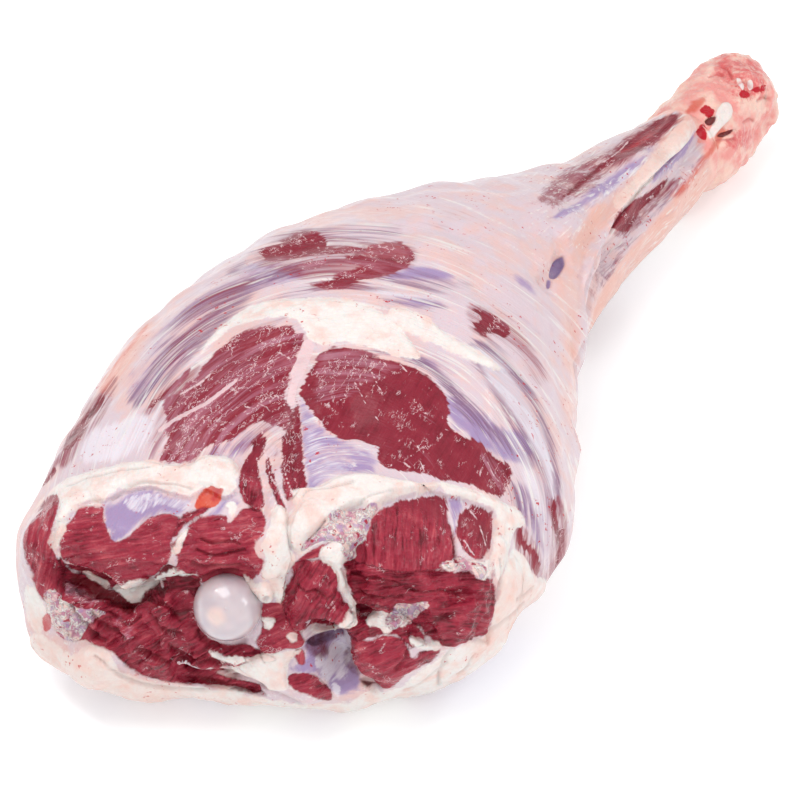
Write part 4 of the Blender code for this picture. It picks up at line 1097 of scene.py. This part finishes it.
def flesh_material(tint):
    """Raw meat: muscle, membrane, fat and strands laid by the painted layers, with ragged edges."""
    w = Wiring("raw lamb")
    place, fibre, sweep = w.place, w.layer("fibre", True), w.layer("sweep", True)
    plus, minus, times, centred = w.plus, w.minus, w.times, w.centred
    fray = w.noise(place, 0.0022, 3)
    fray_wide = w.noise(place, 0.007, 3)

    # Streaks: wide and fine ones that curve round the thigh, or run along the shank
    along = w.layer("along")
    back = minus(1.0, along)
    wavy, straight = w.bent(sweep, 14.0, 6.0), w.bent(place, 0.016, 0.004)
    wide = plus(times(w.noise(wavy, 2.4, 3, 0.6, (1, 11, 1)), back),
                times(w.noise(straight, 0.0032, 3, 0.6, (1, 11, 1)), along))
    fine = plus(times(w.noise(wavy, 0.8, 3, 0.6, (1, 16, 1)), back),
                times(w.noise(straight, 0.0010, 3, 0.6, (1, 14, 1)), along))
    hair = plus(times(w.noise(wavy, 1.4, 2, 0.5, (1, 16, 1)), back),
                times(w.noise(straight, 0.0016, 2, 0.5, (1, 12, 1)), along))

    # Muscle: fibres run along each muscle, darker between the bundles
    bundle = w.noise(w.bent(fibre, 9.0, 3.0), 1.7, 3, 0.6, (7, 1, 1))
    thread = w.noise(fibre, 0.8, 2, 0.6, (10, 1, 1))
    torn = w.layer("torn")
    value = plus(times(centred(bundle, 1.9), plus(0.35, times(torn, 0.65))),
                 times(centred(thread, 1.4), plus(0.5, times(torn, 0.5))))
    value = plus(value, plus(times(w.layer("tone"), 0.45), centred(fray_wide, 1.3)))
    red = w.blend(w.between(value, -0.75, 0.1), tint["dark"], tint["muscle"])
    red = w.blend(w.between(value, 0.0, 0.85), red, tint["bright"])
    # Painted shade: the muscle outside the cut gets more of the dark colour than the torn muscle of the cut
    red = w.blend(w.between(torn, 0.0, 1.0, 0.48, 0.14), red, tint["dark"])
    veil = w.layer("veil")
    cover = plus(plus(centred(wide, 2.6), centred(fine, 1.2)), times(veil, 1.1))
    cover = w.between(cover, 0.55, 1.45, 0.0, 0.6)
    red = w.blend(cover, red, tint["veil"])
    net = w.noise(w.bent(fibre, 3.0, 3.0), 4.0, 4, 0.68, (2.8, 1, 1))
    net = w.math("ABSOLUTE", minus(net, 0.5))
    patch = plus(w.noise(place, 0.005, 2), times(minus(veil, 0.5), 0.26))
    wisp = times(w.between(net, 0.003, 0.016, 1.0, 0.0), w.between(patch, 0.43, 0.54))
    red = w.blend(times(wisp, 0.75), red, tint["sinew"])

    # Membrane: pale skin, lilac where it is thin, with dark and white streaks
    blushed = w.between(plus(fray_wide, centred(w.noise(place, 0.03, 2), 1.2)), 0.35, 0.75)
    pale = w.blend(blushed, tint["membrane"], tint["blush"])
    warmth = w.between(plus(w.layer("warm"), centred(wide, 1.6)), 0.1, 1.1, 0.0, 0.85)
    pale = w.blend(warmth, pale, tint["warm"])
    silver = plus(w.layer("silver"), plus(centred(wide, 2.0), centred(fray_wide, 0.8)))
    film = w.blend(w.between(silver, 0.15, 0.95), pale, tint["silver"])
    shade = plus(w.layer("shade"), plus(centred(wide, 2.0), centred(fine, 1.8)))
    film = w.blend(w.between(shade, 0.35, 1.2, 0.0, 0.9), film, tint["shade"])
    stain = plus(times(w.layer("stain"), 0.95), plus(centred(wide, 1.6), centred(fine, 1.3)))
    film = w.blend(w.between(stain, 0.3, 1.15, 0.0, 0.92), film, tint["stain"])
    rust = plus(w.layer("rust"), centred(wide, 1.2))
    film = w.blend(w.between(rust, 0.25, 0.9, 0.0, 0.95), film, tint["rust"])
    # Gleam: blue-white streaks of the membrane, with painted highlights on its folds and in the pocket
    gleam = plus(w.layer("gleam"), plus(centred(wide, 1.4), centred(fine, 1.4)))
    film = w.blend(w.between(gleam, 0.4, 1.1, 0.0, 0.85), film, tint["gleam"])
    white = plus(centred(fine, 2.0), centred(hair, 2.0))
    white = minus(white, times(w.layer("silver"), times(torn, 0.6)))
    film = w.blend(w.between(white, 0.12, 0.6, 0.0, 0.75), film, tint["fat"])
    fleck = times(w.between(w.noise(place, 0.0018, 2), 0.64, 0.70),
                  w.between(w.noise(place, 0.02, 2), 0.46, 0.6))
    film = w.blend(times(fleck, 0.9), film, tint["blood"])

    # Fat: cream with pink patches, in small lobes
    lobes = w.lace(w.bent(place, 0.004, 0.003), 0.004)
    cream = w.blend(w.between(w.noise(place, 0.007, 3), 0.42, 0.7), tint["fat"], tint["peach"])
    cream = w.blend(w.between(lobes, 0.0, 0.10, 0.14, 0.0), cream, tint["blush"])
    cream = w.blend(times(fleck, 0.85), cream, tint["blood"])
    cream = w.blend(w.between(w.layer("warm"), 0.1, 1.0, 0.0, 0.6), cream, tint["warm"])

    # The tissues over each other: muscle, fat, froth, strands, stains, painted shade in folds and hollows,
    # gristle and blood
    ragged = times(plus(centred(wide, 4.0), centred(fine, 1.5)), plus(0.3, times(back, 0.7)))
    edge = plus(w.layer("muscle"), plus(centred(fray, 1.5), ragged))
    bare = w.between(edge, -0.35, 0.45)
    body = w.blend(bare, film, red)
    edge = plus(w.layer("fat"), plus(centred(fray, 2.0), centred(fray_wide, 2.5)))
    body = w.blend(w.between(edge, -0.3, 0.5), body, cream)
    knot = w.math("ABSOLUTE", centred(w.noise(w.bent(place, 0.002, 0.0015), 0.0030, 2, 0.55), 2.0))
    bubble = w.between(knot, 0.02, 0.14, 1.0, 0.0)
    froth = w.blend(w.between(w.noise(place, 0.0035, 3), 0.40, 0.60), tint["veil"], tint["peach"])
    froth = w.blend(w.between(w.noise(place, 0.0045, 2), 0.52, 0.62, 0.0, 0.6), froth, tint["silver"])
    froth = w.blend(w.between(w.noise(place, 0.0030, 2), 0.60, 0.68), froth, tint["muscle"])
    froth = w.blend(times(bubble, 0.85), froth, tint["fat"])
    foam = w.between(plus(w.layer("foam"), centred(fray, 1.2)), 0.3, 0.7)
    body = w.blend(foam, body, froth)
    edge = plus(w.layer("strand"), centred(fray, 1.1))
    body = w.blend(w.between(edge, 0.0, 0.3, 0.0, 0.8), body, tint["sinew"])
    stained = w.between(plus(w.layer("rust"), centred(fray, 1.2)), 0.5, 1.0, 0.0, times(torn, 0.85))
    body = w.blend(stained, body, w.blend(w.between(fray_wide, 0.4, 0.62), tint["rust"], tint["blood"]))
    # Painted shade: the crease layer darkens creases, folds and hollows towards the crevice colour
    body = w.blend(times(w.layer("crease"), 0.6), body, tint["deep"])
    # The dark patches lay painted shade in the pocket, the crevice and the low groove, and darken one streak
    # on the shank
    dark = plus(w.layer("dark"), centred(fray, 0.7))
    body = w.blend(w.between(dark, 0.15, 0.95, 0.0, 0.85), body, tint["deep"])
    ending = plus(w.layer("gristle"), plus(centred(fray_wide, 0.7), centred(wide, 0.9)))
    body = w.blend(w.between(ending, 0.35, 0.8), body, gristle_colour(w, tint))
    blood = plus(w.layer("blood"), centred(fray, 0.8))
    body = w.blend(w.between(blood, 0.4, 0.8, 0.0, 0.8), body, tint["blood"])

    # Gloss and bump; the bump reads plain edges, which cost less than the ragged ones
    rough = minus(w.between(w.noise(place, 0.004, 2), 0.3, 0.7, 0.28, 0.44), times(times(torn, bare), 0.08))
    lean = w.between(w.layer("muscle"), -0.35, 0.45)
    frothy = w.between(w.layer("foam"), 0.3, 0.7)
    height = plus(times(bundle, times(lean, plus(0.3, torn))), plus(times(fine, 0.6), times(frothy, bubble)))
    normal = w.bump(height, 0.0008, 0.8)
    normal = w.bump(w.noise(place, 0.0016, 3), 0.0004, 0.5, normal)
    return w.finish(body, rough, normal, 0.25, 0.14)


def gristle_colour(w, tint):
    """Pink gristle in pale ridges, with the hock's spots laid over it and painted shade in its holes."""
    speckle, blotch = w.noise(w.place, 0.0035, 4, 0.65), w.noise(w.place, 0.011, 3)

    def mixed(name, gain):
        return w.plus(w.layer(name), w.centred(speckle, gain))

    body = w.blend(w.between(blotch, 0.38, 0.62), tint["gristle"], tint["gristle pale"])
    body = w.blend(w.between(mixed("flush", 3.2), 0.25, 1.25, 0.0, 0.85), body, tint["gristle red"])
    body = w.blend(w.between(speckle, 0.58, 0.72, 0.0, 0.7), body, tint["gristle pale"])
    body = w.blend(w.between(mixed("amber", 1.2), 0.3, 0.9, 0.0, 0.75), body, tint["rust"])
    body = w.blend(w.between(mixed("blood", 1.6), 0.45, 0.75), body, tint["blood"])
    body = w.blend(w.between(mixed("white", 0.8), 0.4, 0.7, 0.0, 0.9), body, tint["fat"])
    body = w.blend(w.times(w.layer("line"), 0.5), body, tint["gristle red"])
    # Painted shade in the holes of the hock
    return w.blend(w.between(mixed("hole", 0.8), 0.35, 0.8, 0.0, 0.9), body, tint["deep"])


def gristle_material(tint):
    """The hock: moist pink gristle with red spots and pale ridges."""
    w = Wiring("hock gristle")
    rough = w.between(w.noise(w.place, 0.003, 2), 0.3, 0.7, 0.28, 0.5)
    normal = w.bump(w.noise(w.place, 0.003, 4, 0.6), 0.0014, 0.8)
    return w.finish(gristle_colour(w, tint), rough, normal, 0.4, 0.3)


def ball_material(tint):
    """Wet cartilage: pearly, faintly lilac, peach where the ligament joined."""
    w = Wiring("ball cartilage")
    place = w.place
    body = w.blend(w.between(w.noise(place, 0.012, 2), 0.3, 0.7), tint["pearl"], tint["pearl shade"])
    body = w.blend(w.between(w.layer("pit"), 0.15, 0.9, 0.0, 0.85), body, tint["peach"])
    body = w.blend(w.between(w.noise(place, 0.002, 3), 0.62, 0.75, 0.0, 0.25), body, tint["pearl shade"])
    rough = w.between(w.noise(place, 0.005, 2), 0.3, 0.7, 0.16, 0.26)
    normal = w.bump(w.noise(place, 0.0035, 2), 0.0004, 0.25)
    return w.finish(body, rough, normal, 0.35, 1.0, 0.5)


def table_material(colour):
    """The pale floor, with faint clouds and a weak glow of its own."""
    w = Wiring("pale table")
    tone = w.blend(w.between(w.noise(w.place, 0.15, 2), 0.3, 0.7), colour, tuple(c * 0.985 for c in colour))
    w.put(w.shader.inputs["Base Color"], tone)
    w.put(w.shader.inputs["Normal"], w.bump(w.noise(w.place, 0.004, 3), 0.0002, 0.2))
    w.shader.inputs["Roughness"].default_value = 0.75
    w.put(w.shader.inputs["Emission Color"], tone)
    w.shader.inputs["Emission Strength"].default_value = 0.32
    return w.material


# ---- settings ----


def colour_property(name, description, value):
    """A colour setting whose default is given in display values."""
    return FloatVectorProperty(name=name, description=description, subtype="COLOR", size=3, min=0, max=1,
                               default=tuple(v * HIGH_KEY for v in linear(*value)))


class LegColours(bpy.types.PropertyGroup):
    """Colours of the tissues, and of the painted shade in creases, hollows and holes."""

    muscle: colour_property("Muscle", "Bare red muscle", (172, 50, 71))
    # Dark muscle is the colour between the bundles, and also the painted shade over the muscle outside the
    # cut
    dark: colour_property("Dark muscle", "Muscle between the bundles", (98, 8, 26))
    bright: colour_property("Bright muscle", "Muscle where it catches the light", (216, 100, 110))
    membrane: colour_property("Membrane", "Pale skin over the muscle", (224, 203, 211))
    blush: colour_property("Blush", "Pink patches of the membrane", (234, 197, 194))
    silver: colour_property("Silverskin", "Lilac skin over the muscle", (172, 148, 188))
    veil: colour_property("Film", "Thin film left on the muscle", (200, 140, 160))
    stain: colour_property("Stain", "Muscle seen through the membrane", (148, 48, 70))
    rust: colour_property("Rust", "Orange-red streaks", (220, 92, 68))
    warm: colour_property("Warm membrane", "Orange-pink patches", (240, 184, 168))
    # Gleam is blue-white membrane, with painted highlights on its folds and in the pocket
    gleam: colour_property("Gleam", "Blue-white streaks of the membrane", (238, 229, 238))
    shade: colour_property("Streaks", "Dark streaks of the membrane", (136, 98, 130))
    fat: colour_property("Fat", "Thick fat", (242, 235, 231))
    peach: colour_property("Peach", "Warm patches of the fat", (243, 214, 206))
    sinew: colour_property("Sinew", "White strands", (238, 208, 212))
    # Painted shade: the colour of the darkened creases, hollows, pocket, crevice and holes of the hock
    deep: colour_property("Crevice", "Deep folds", (104, 8, 22))
    gristle: colour_property("Gristle", "Pink gristle of the hock", (244, 162, 155))
    gristle_pale: colour_property("Pale gristle", "Pale gristle of the hock", (250, 208, 194))
    gristle_red: colour_property("Red gristle", "Red gristle of the hock", (226, 96, 98))
    blood: colour_property("Blood", "Red spots", (196, 20, 40))
    pearl: colour_property("Cartilage", "Wet cartilage of the ball", (224, 208, 211))
    pearl_shade: colour_property("Cartilage shade", "Lilac patches of the ball", (202, 188, 196))
    table: FloatVectorProperty(name="Table", description="The pale floor", subtype="COLOR", size=3,
                               min=0, max=1, default=(0.84, 0.865, 0.868))


class LegSizes(bpy.types.PropertyGroup):
    """Sizes that can be changed."""

    fat_lift: FloatProperty(name="Fat lift", description="How far thick fat stands up, as a share",
                            default=1.0, min=0, max=2, subtype="FACTOR")
    crag: FloatProperty(name="Crags", description="Depth of the torn muscle in the cut, in metres",
                        default=0.0016, min=0, max=0.004, unit="LENGTH")
    ball: FloatProperty(name="Ball", description="Diameter of the ball of the thigh bone", unit="LENGTH",
                        default=2 * BALL_RADIUS * MM, min=0.018, max=0.026)
    lens: FloatProperty(name="Lens", description="Focal length of the camera in millimetres",
                        default=SENSOR * VIEW_FOCAL / PICTURE, min=50, max=300)


def palette():
    """The colours of the settings by their names in plain words."""
    colours = bpy.context.scene.leg_colours
    return {n.replace("_", " "): tuple(getattr(colours, n)) for n in LegColours.__annotations__}


# ---- pieces ----

# Points round the seen and the hidden part of each ring, and where in degrees these parts start and end
AROUND_TOP, AROUND_LOW = 430, 170
SEEN_FROM, SEEN_TO = -35, 182

# Rings of the cut face, the body and its round end; the body rings at which the thigh is parted and ends
FACE_RINGS, BODY_RINGS, END_RINGS = 150, 430, 8
THIGH_PARTED, THIGH_END = 150, 300

# Rings that a piece runs on under its neighbours, and how much deeper each lies
TUCK, TUCK_DEPTH = 5, 0.11

# Where along the leg the shank starts and ends to sink under the hock, and how far it sinks
SHANK_END, SHANK_END_DROP = (132, 160), 1.2

# The surface and the material that the pieces share, each made once
made = {}


def leg_surface():
    """Rings of the whole meat: the cut face from the ball out, the body along Y and a small round end.

    The rings are first moved by the relief, then painted, and then moved by a height that is the sum of the
    lift of the fat, the dents, torn folds and threads of bare muscle, small lumps of fat, and strands.
    """
    if "leg" in made:
        return made["leg"]
    sizes = bpy.context.scene.leg_sizes
    around = AROUND_TOP + AROUND_LOW
    degrees = [SEEN_FROM, SEEN_TO, SEEN_FROM + 360]
    angle = np.radians(np.interp(np.arange(around), [0, AROUND_TOP, around], degrees))
    x, z = outline(MEAT[:1], angle)
    q = np.arange(1, FACE_RINGS)[:, None] / FACE_RINGS
    share = np.sin(q * TURN / 4) ** (2 / FACE_ROUND)
    face = face_points(BALL_X + share * (x - BALL_X), BALL_Z + share * (z - BALL_Z))
    rows = smooth(MEAT, np.linspace(MEAT[0, 0], MEAT[-1, 0], BODY_RINGS + 1))
    body = placed(rows, *outline(rows, angle), 0.0)
    end = end_rings(MEAT[-1], HOCK_ROUND, np.arange(1, END_RINGS + 1) / (END_RINGS + 1), angle)
    grid = np.concatenate([face, body, end])
    first = face_points(np.array([BALL_X]), np.array([BALL_Z]))[0]
    last = placed(MEAT[-1:], MEAT[-1:, 4:5], MEAT[-1:, 7:8], HOCK_ROUND)[0, 0]
    out = normals(grid, first, last)
    grid = grid + relief(grid)[..., None] * out
    out = normals(grid, first, last)
    flat, flat_out = grid.reshape(-1, 3), out.reshape(-1, 3)
    layers = painted(flat, flat_out)
    bare = step(-0.5, 1.0, layers["muscle"]) * (1 - step(-0.5, 1.0, layers["fat"]))
    ring = np.repeat(np.arange(len(grid)), around)
    on_face = step(FACE_RINGS - 2, FACE_RINGS - 30, ring)
    folds = np.abs(ripple(layers["fibre"] * (0.28, 1, 1), 4.6, 21, 3)) - 0.3
    lumps = np.abs(ripple(flat, 8.0, 27, 3)) - 0.35
    threads = ripple(layers["fibre"] * (0.2, 1, 1), 1.5, 33, 2)
    height = sizes.fat_lift * layers["lift"] - 0.4 * bare * (1 - on_face) - layers["dent"]
    wild = step(0.1, -0.3, layers["tone"])
    torn = 1.1 * folds + (0.3 + 1.3 * wild) * lumps
    height += bare * on_face * (sizes.crag / MM * -torn + 0.22 * threads)
    height += bare * (1 - on_face) * 0.08 * threads
    thick = step(0.0, 1.5, layers["fat"])
    height += thick * (0.45 * ripple(flat, 7.0, 61, 3) + 0.35 * np.abs(ripple(flat, 3.2, 67, 2)))
    height += 0.22 * step(-0.2, 0.3, layers["strand"])
    height -= SHANK_END_DROP * step(*SHANK_END, flat[:, 1] - MIDLINE[1])
    grid = (flat + height[:, None] * flat_out).reshape(grid.shape)
    grid[..., 2] = np.maximum(grid[..., 2], 0)
    first = grid[0].mean(axis=0)
    out = normals(grid, first, last)
    layers["torn"] = on_face
    layers["along"] = np.maximum(layers["along"], step(FACE_RINGS - 6, FACE_RINGS - 40, ring))
    keep = {k: v for k, v in layers.items() if k not in ("lift", "dent")}
    made["leg"] = grid, out, keep, first, last
    return made["leg"]


def leg_part(name, start, stop, first=False, last=False):
    """The rings from start to stop of the meat as a piece, tucked a little under its neighbours."""
    grid, out, layers, pole_a, pole_b = leg_surface()
    rings, around = grid.shape[:2]
    low, high = max(start - TUCK, 0), min(stop + TUCK, rings)
    row = np.arange(low, high)
    sunk = np.maximum(start - row, 0) + np.maximum(row - stop + 1, 0)
    part = grid[low:high] - (TUCK_DEPTH * sunk)[:, None, None] * out[low:high]
    part[..., 2] = np.maximum(part[..., 2], 0)
    own = {k: v[low * around:high * around] for k, v in layers.items()}
    return skin(name, part, out[low:high], own, pole_a if first else None, pole_b if last else None)


def flesh():
    """The material that the face, the thigh and the shank share."""
    if "flesh" not in made:
        made["flesh"] = flesh_material(palette())
    return made["flesh"]


class LEG_OT_cut_face(bpy.types.Operator):
    """Builds the cut face: torn lobes, fat and the pocket round the ball"""

    bl_idname = "leg.cut_face"
    bl_label = "Cut face"

    def execute(self, context):
        dress(leg_part("cut_face", 0, FACE_RINGS, first=True), flesh(), "leg_meat")
        return {"FINISHED"}


class LEG_OT_thigh(bpy.types.Operator):
    """Builds the thigh in two lengths"""

    bl_idname = "leg.thigh"
    bl_label = "Thigh"

    def execute(self, context):
        parted, end = FACE_RINGS + THIGH_PARTED, FACE_RINGS + THIGH_END
        dress(leg_part("thigh_near", FACE_RINGS - 1, parted), flesh(), "leg_meat")
        dress(leg_part("thigh_far", parted - 1, end), flesh(), "leg_meat")
        return {"FINISHED"}


class LEG_OT_shank(bpy.types.Operator):
    """Builds the shank up to the hock"""

    bl_idname = "leg.shank"
    bl_label = "Shank"

    def execute(self, context):
        start, stop = FACE_RINGS + THIGH_END - 1, FACE_RINGS + BODY_RINGS + END_RINGS
        dress(leg_part("shank", start, stop, last=True), flesh(), "leg_meat")
        return {"FINISHED"}


# Points round the hock, its rings and the rings of its round end; points round the ball and its rings
HOCK_AROUND, HOCK_RINGS, HOCK_END_RINGS = 260, 130, 70
BALL_AROUND, BALL_RINGS = 160, 82

# Way from the middle of the ball to its mound in parts right, up and back, and the mound's reach in radians
PIT_WAY, PIT_REACH = (-0.30, -0.24, 0.92), 0.34

# Knobs and pits of the hock: place from the midline, half width, height
HOCK_KNOBS = (
    ((13, 196, 43), 11, 3.5),
    ((-9, 190, 45), 9, 2.5),
    ((20, 214, 25), 9, 3.0),
    ((-2, 220, 33), 8, 2.5),
    ((22, 192, 12), 8, 3.0),
    ((-12, 200, 10), 8, 2.0),
    ((4, 214, 14), 6, -3.0),
    ((8, 205, 46), 6, -3.0),
    ((-17, 180, 30), 7, -2.0),
    ((-13, 206, 28), 7, 2.0),
)


class LEG_OT_hock(bpy.types.Operator):
    """Builds the lumpy hock at the end of the shank: rings moved by noise and by bumps that fade all round"""

    bl_idname = "leg.hock"
    bl_label = "Hock"

    def execute(self, context):
        angle = np.linspace(0, TURN, HOCK_AROUND, endpoint=False)
        rows = smooth(HOCK, np.linspace(HOCK[0, 0], HOCK[-1, 0], HOCK_RINGS))
        body = placed(rows, *outline(rows, angle), 0.0)
        end = end_rings(HOCK[-1], HOCK_END, np.arange(1, HOCK_END_RINGS) / HOCK_END_RINGS, angle)
        grid = np.concatenate([body, end])
        first = placed(HOCK[:1], HOCK[:1, 4:5], HOCK[:1, 7:8], -2.0)[0, 0]
        last = placed(HOCK[-1:], HOCK[-1:, 4:5], HOCK[-1:, 7:8], HOCK_END)[0, 0]
        out = normals(grid, first, last)
        height = np.zeros(grid.shape[:2])
        for place, width, rise in HOCK_KNOBS:
            away = np.linalg.norm(grid - np.array(place) - MIDLINE, axis=-1)
            height += rise * np.exp(-(away / width) ** 2.4)
        y = grid[..., 1] - MIDLINE[1]
        height += 2.6 * (1 - step(160, 190, y))
        height += (0.5 + 0.7 * step(165, 195, y)) * ripple(grid, 8.0, 41, 3)
        height += step(170, 195, y) * (1.1 * np.abs(ripple(grid, 11.0, 43, 3)) - 0.4)
        grid = grid + height[..., None] * out
        out = normals(grid, first, last)
        flat, flat_out = grid.reshape(-1, 3), out.reshape(-1, 3)
        layers = hock_spots(seen(flat), step(EDGE_ON, FACE_ON, facing(flat, flat_out)))
        height = 1.0 * layers["white"] - 0.9 * layers["line"] - 1.4 * layers["hole"]
        height += 0.5 * ripple(flat, 4.5, 47, 3)
        grid = (flat + height[:, None] * flat_out).reshape(grid.shape)
        out = normals(grid, first, last)
        obj = skin("hock", grid, out, layers, first, last)
        dress(obj, gristle_material(palette()), "shank_bone")
        return {"FINISHED"}


class LEG_OT_ball(bpy.types.Operator):
    """Builds the ball of the thigh bone: a sphere with slow waves and a low mound where a ligament was"""

    bl_idname = "leg.ball"
    bl_label = "Ball of the thigh bone"

    def execute(self, context):
        yaw = math.radians(MEAT[0, 1])
        centre = face_points(np.array([BALL_X]), np.array([BALL_Z]))[0]
        centre = centre + BALL_SINK * np.array([-math.sin(yaw), math.cos(yaw), 0])
        _, right, up, back = view_axes()
        axes = np.stack([right, up, back])
        turn = np.linspace(0, TURN, BALL_AROUND, endpoint=False)
        down = np.linspace(0, TURN / 2, BALL_RINGS)[1:-1, None]
        sphere = [np.sin(down) * np.cos(turn), np.sin(down) * np.sin(turn), np.cos(down) + 0 * turn]
        way = np.stack(sphere, axis=-1) @ axes
        pit_way = np.array(PIT_WAY) @ axes
        pit_way = pit_way / np.linalg.norm(pit_way)
        apart = np.arccos(np.clip(way @ pit_way, -1, 1))
        pit = np.exp(-(apart / PIT_REACH) ** 2.2)
        radius = context.scene.leg_sizes.ball / MM / 2
        swell = 1 + 0.012 * ripple(way * 10, 9.0, 51, 2)
        swell += 0.02 * np.exp(-(apart / 0.22) ** 2)
        swell -= 0.02 * np.exp(-((apart - PIT_REACH) / 0.14) ** 2)
        grid = centre + radius * swell[..., None] * way
        first, last = centre + radius * back, centre - radius * back
        out = normals(grid, first, last)
        obj = skin("ball", grid, out, {"pit": pit.ravel()}, first, last)
        dress(obj, ball_material(palette()), "thigh_bone")
        return {"FINISHED"}


def area_light(name, place, aim, size, power):
    """A soft rectangular light that faces the aim, with sizes in metres and power in watts."""
    data = bpy.data.lights.new(name, "AREA")
    data.shape = "RECTANGLE"
    data.size, data.size_y = size
    data.energy = power
    light = bpy.data.objects.new(name, data)
    light.location = place
    light.rotation_mode = "QUATERNION"
    light.rotation_quaternion = (Vector(place) - Vector(aim)).to_track_quat("Z", "Y")
    bpy.context.scene.collection.objects.link(light)
    return light


# The floor in metres, just under the leg; the light from all round; where the lights are aimed and how far
# the ones that stand by the viewer are; the ways to the small lights in parts right, up and back from the aim
FLOOR_SIDE, FLOOR_TOP = 6.0, -0.0004
SKY_STRENGTH = 0.72
LIGHT_AIM, LIGHT_FAR = (0, -0.05, 0.05), 1000
GLINTS = {"glint left": (-0.59, 0.69, 0.41), "glint right": (0.70, 0.70, 0.12)}


class LEG_OT_stage(bpy.types.Operator):
    """Builds the pale floor, the soft light and the camera"""

    bl_idname = "leg.stage"
    bl_label = "Stage"

    def execute(self, context):
        mesh = bpy.data.meshes.new("floor")
        corners = [(FLOOR_SIDE * x, FLOOR_SIDE * y, FLOOR_TOP)
                   for x, y in ((-1, -1), (1, -1), (1, 1), (-1, 1))]
        mesh.from_pydata(corners, [], [(0, 1, 2, 3)])
        floor = bpy.data.objects.new("floor", mesh)
        context.scene.collection.objects.link(floor)
        mesh.materials.append(table_material(palette()["table"]))
        world = bpy.data.worlds.new("soft white")
        world.use_nodes = True
        sky = world.node_tree.nodes["Background"].inputs
        sky["Color"].default_value = (1, 1, 1, 1)
        sky["Strength"].default_value = SKY_STRENGTH
        context.scene.world = world
        area_light("overhead", (-0.15, -0.30, 1.0), LIGHT_AIM, (0.7, 0.5), 4.8)
        area_light("side", (0.95, 0.15, 0.55), LIGHT_AIM, (0.35, 0.5), 2.2)
        eye, right, up, back = view_axes()
        below_eye = VIEW_AIM + LIGHT_FAR * back - 150 * up
        fill = area_light("front", below_eye * MM, VIEW_AIM * MM, (0.8, 0.6), 2.2)
        fill.visible_glossy = False
        for name, way in GLINTS.items():
            spot = VIEW_AIM + LIGHT_FAR * (np.array(way) @ np.stack([right, up, back]))
            area_light(name, spot * MM, VIEW_AIM * MM, (0.12, 0.12), 0.8)
        data = bpy.data.cameras.new("camera")
        data.sensor_width = SENSOR
        data.lens = context.scene.leg_sizes.lens
        data.clip_start, data.clip_end = 0.05, 50
        camera = bpy.data.objects.new("camera", data)
        rows = np.stack([right, up, back, eye * MM], axis=1).tolist()
        camera.matrix_world = Matrix(rows + [[0, 0, 0, 1]])
        context.scene.collection.objects.link(camera)
        context.scene.camera = camera
        context.scene.view_settings.view_transform = "Standard"
        return {"FINISHED"}


OPERATORS = (LEG_OT_cut_face, LEG_OT_thigh, LEG_OT_shank, LEG_OT_hock, LEG_OT_ball, LEG_OT_stage)


class LEG_PT_panel(bpy.types.Panel):
    """Lists the pieces, sizes and colours of the leg of lamb"""

    bl_idname = "LEG_PT_panel"
    bl_label = "Leg of lamb"
    bl_space_type = "VIEW_3D"
    bl_region_type = "UI"
    bl_category = "Leg of lamb"

    def draw(self, context):
        for operator in OPERATORS:
            self.layout.operator(operator.bl_idname)
        for group in (context.scene.leg_sizes, context.scene.leg_colours):
            for name in type(group).__annotations__:
                self.layout.prop(group, name)


CLASSES = (LegColours, LegSizes, *OPERATORS, LEG_PT_panel)


def register():
    for cls in CLASSES:
        bpy.utils.register_class(cls)
    bpy.types.Scene.leg_colours = PointerProperty(type=LegColours)
    bpy.types.Scene.leg_sizes = PointerProperty(type=LegSizes)


def unregister():
    del bpy.types.Scene.leg_sizes
    del bpy.types.Scene.leg_colours
    for cls in reversed(CLASSES):
        bpy.utils.unregister_class(cls)


def main():
    """Builds every piece and the stage."""
    register()
    for operator in OPERATORS:
        getattr(bpy.ops.leg, operator.bl_idname.split(".")[1])()


if __name__ == "__main__":
    main()
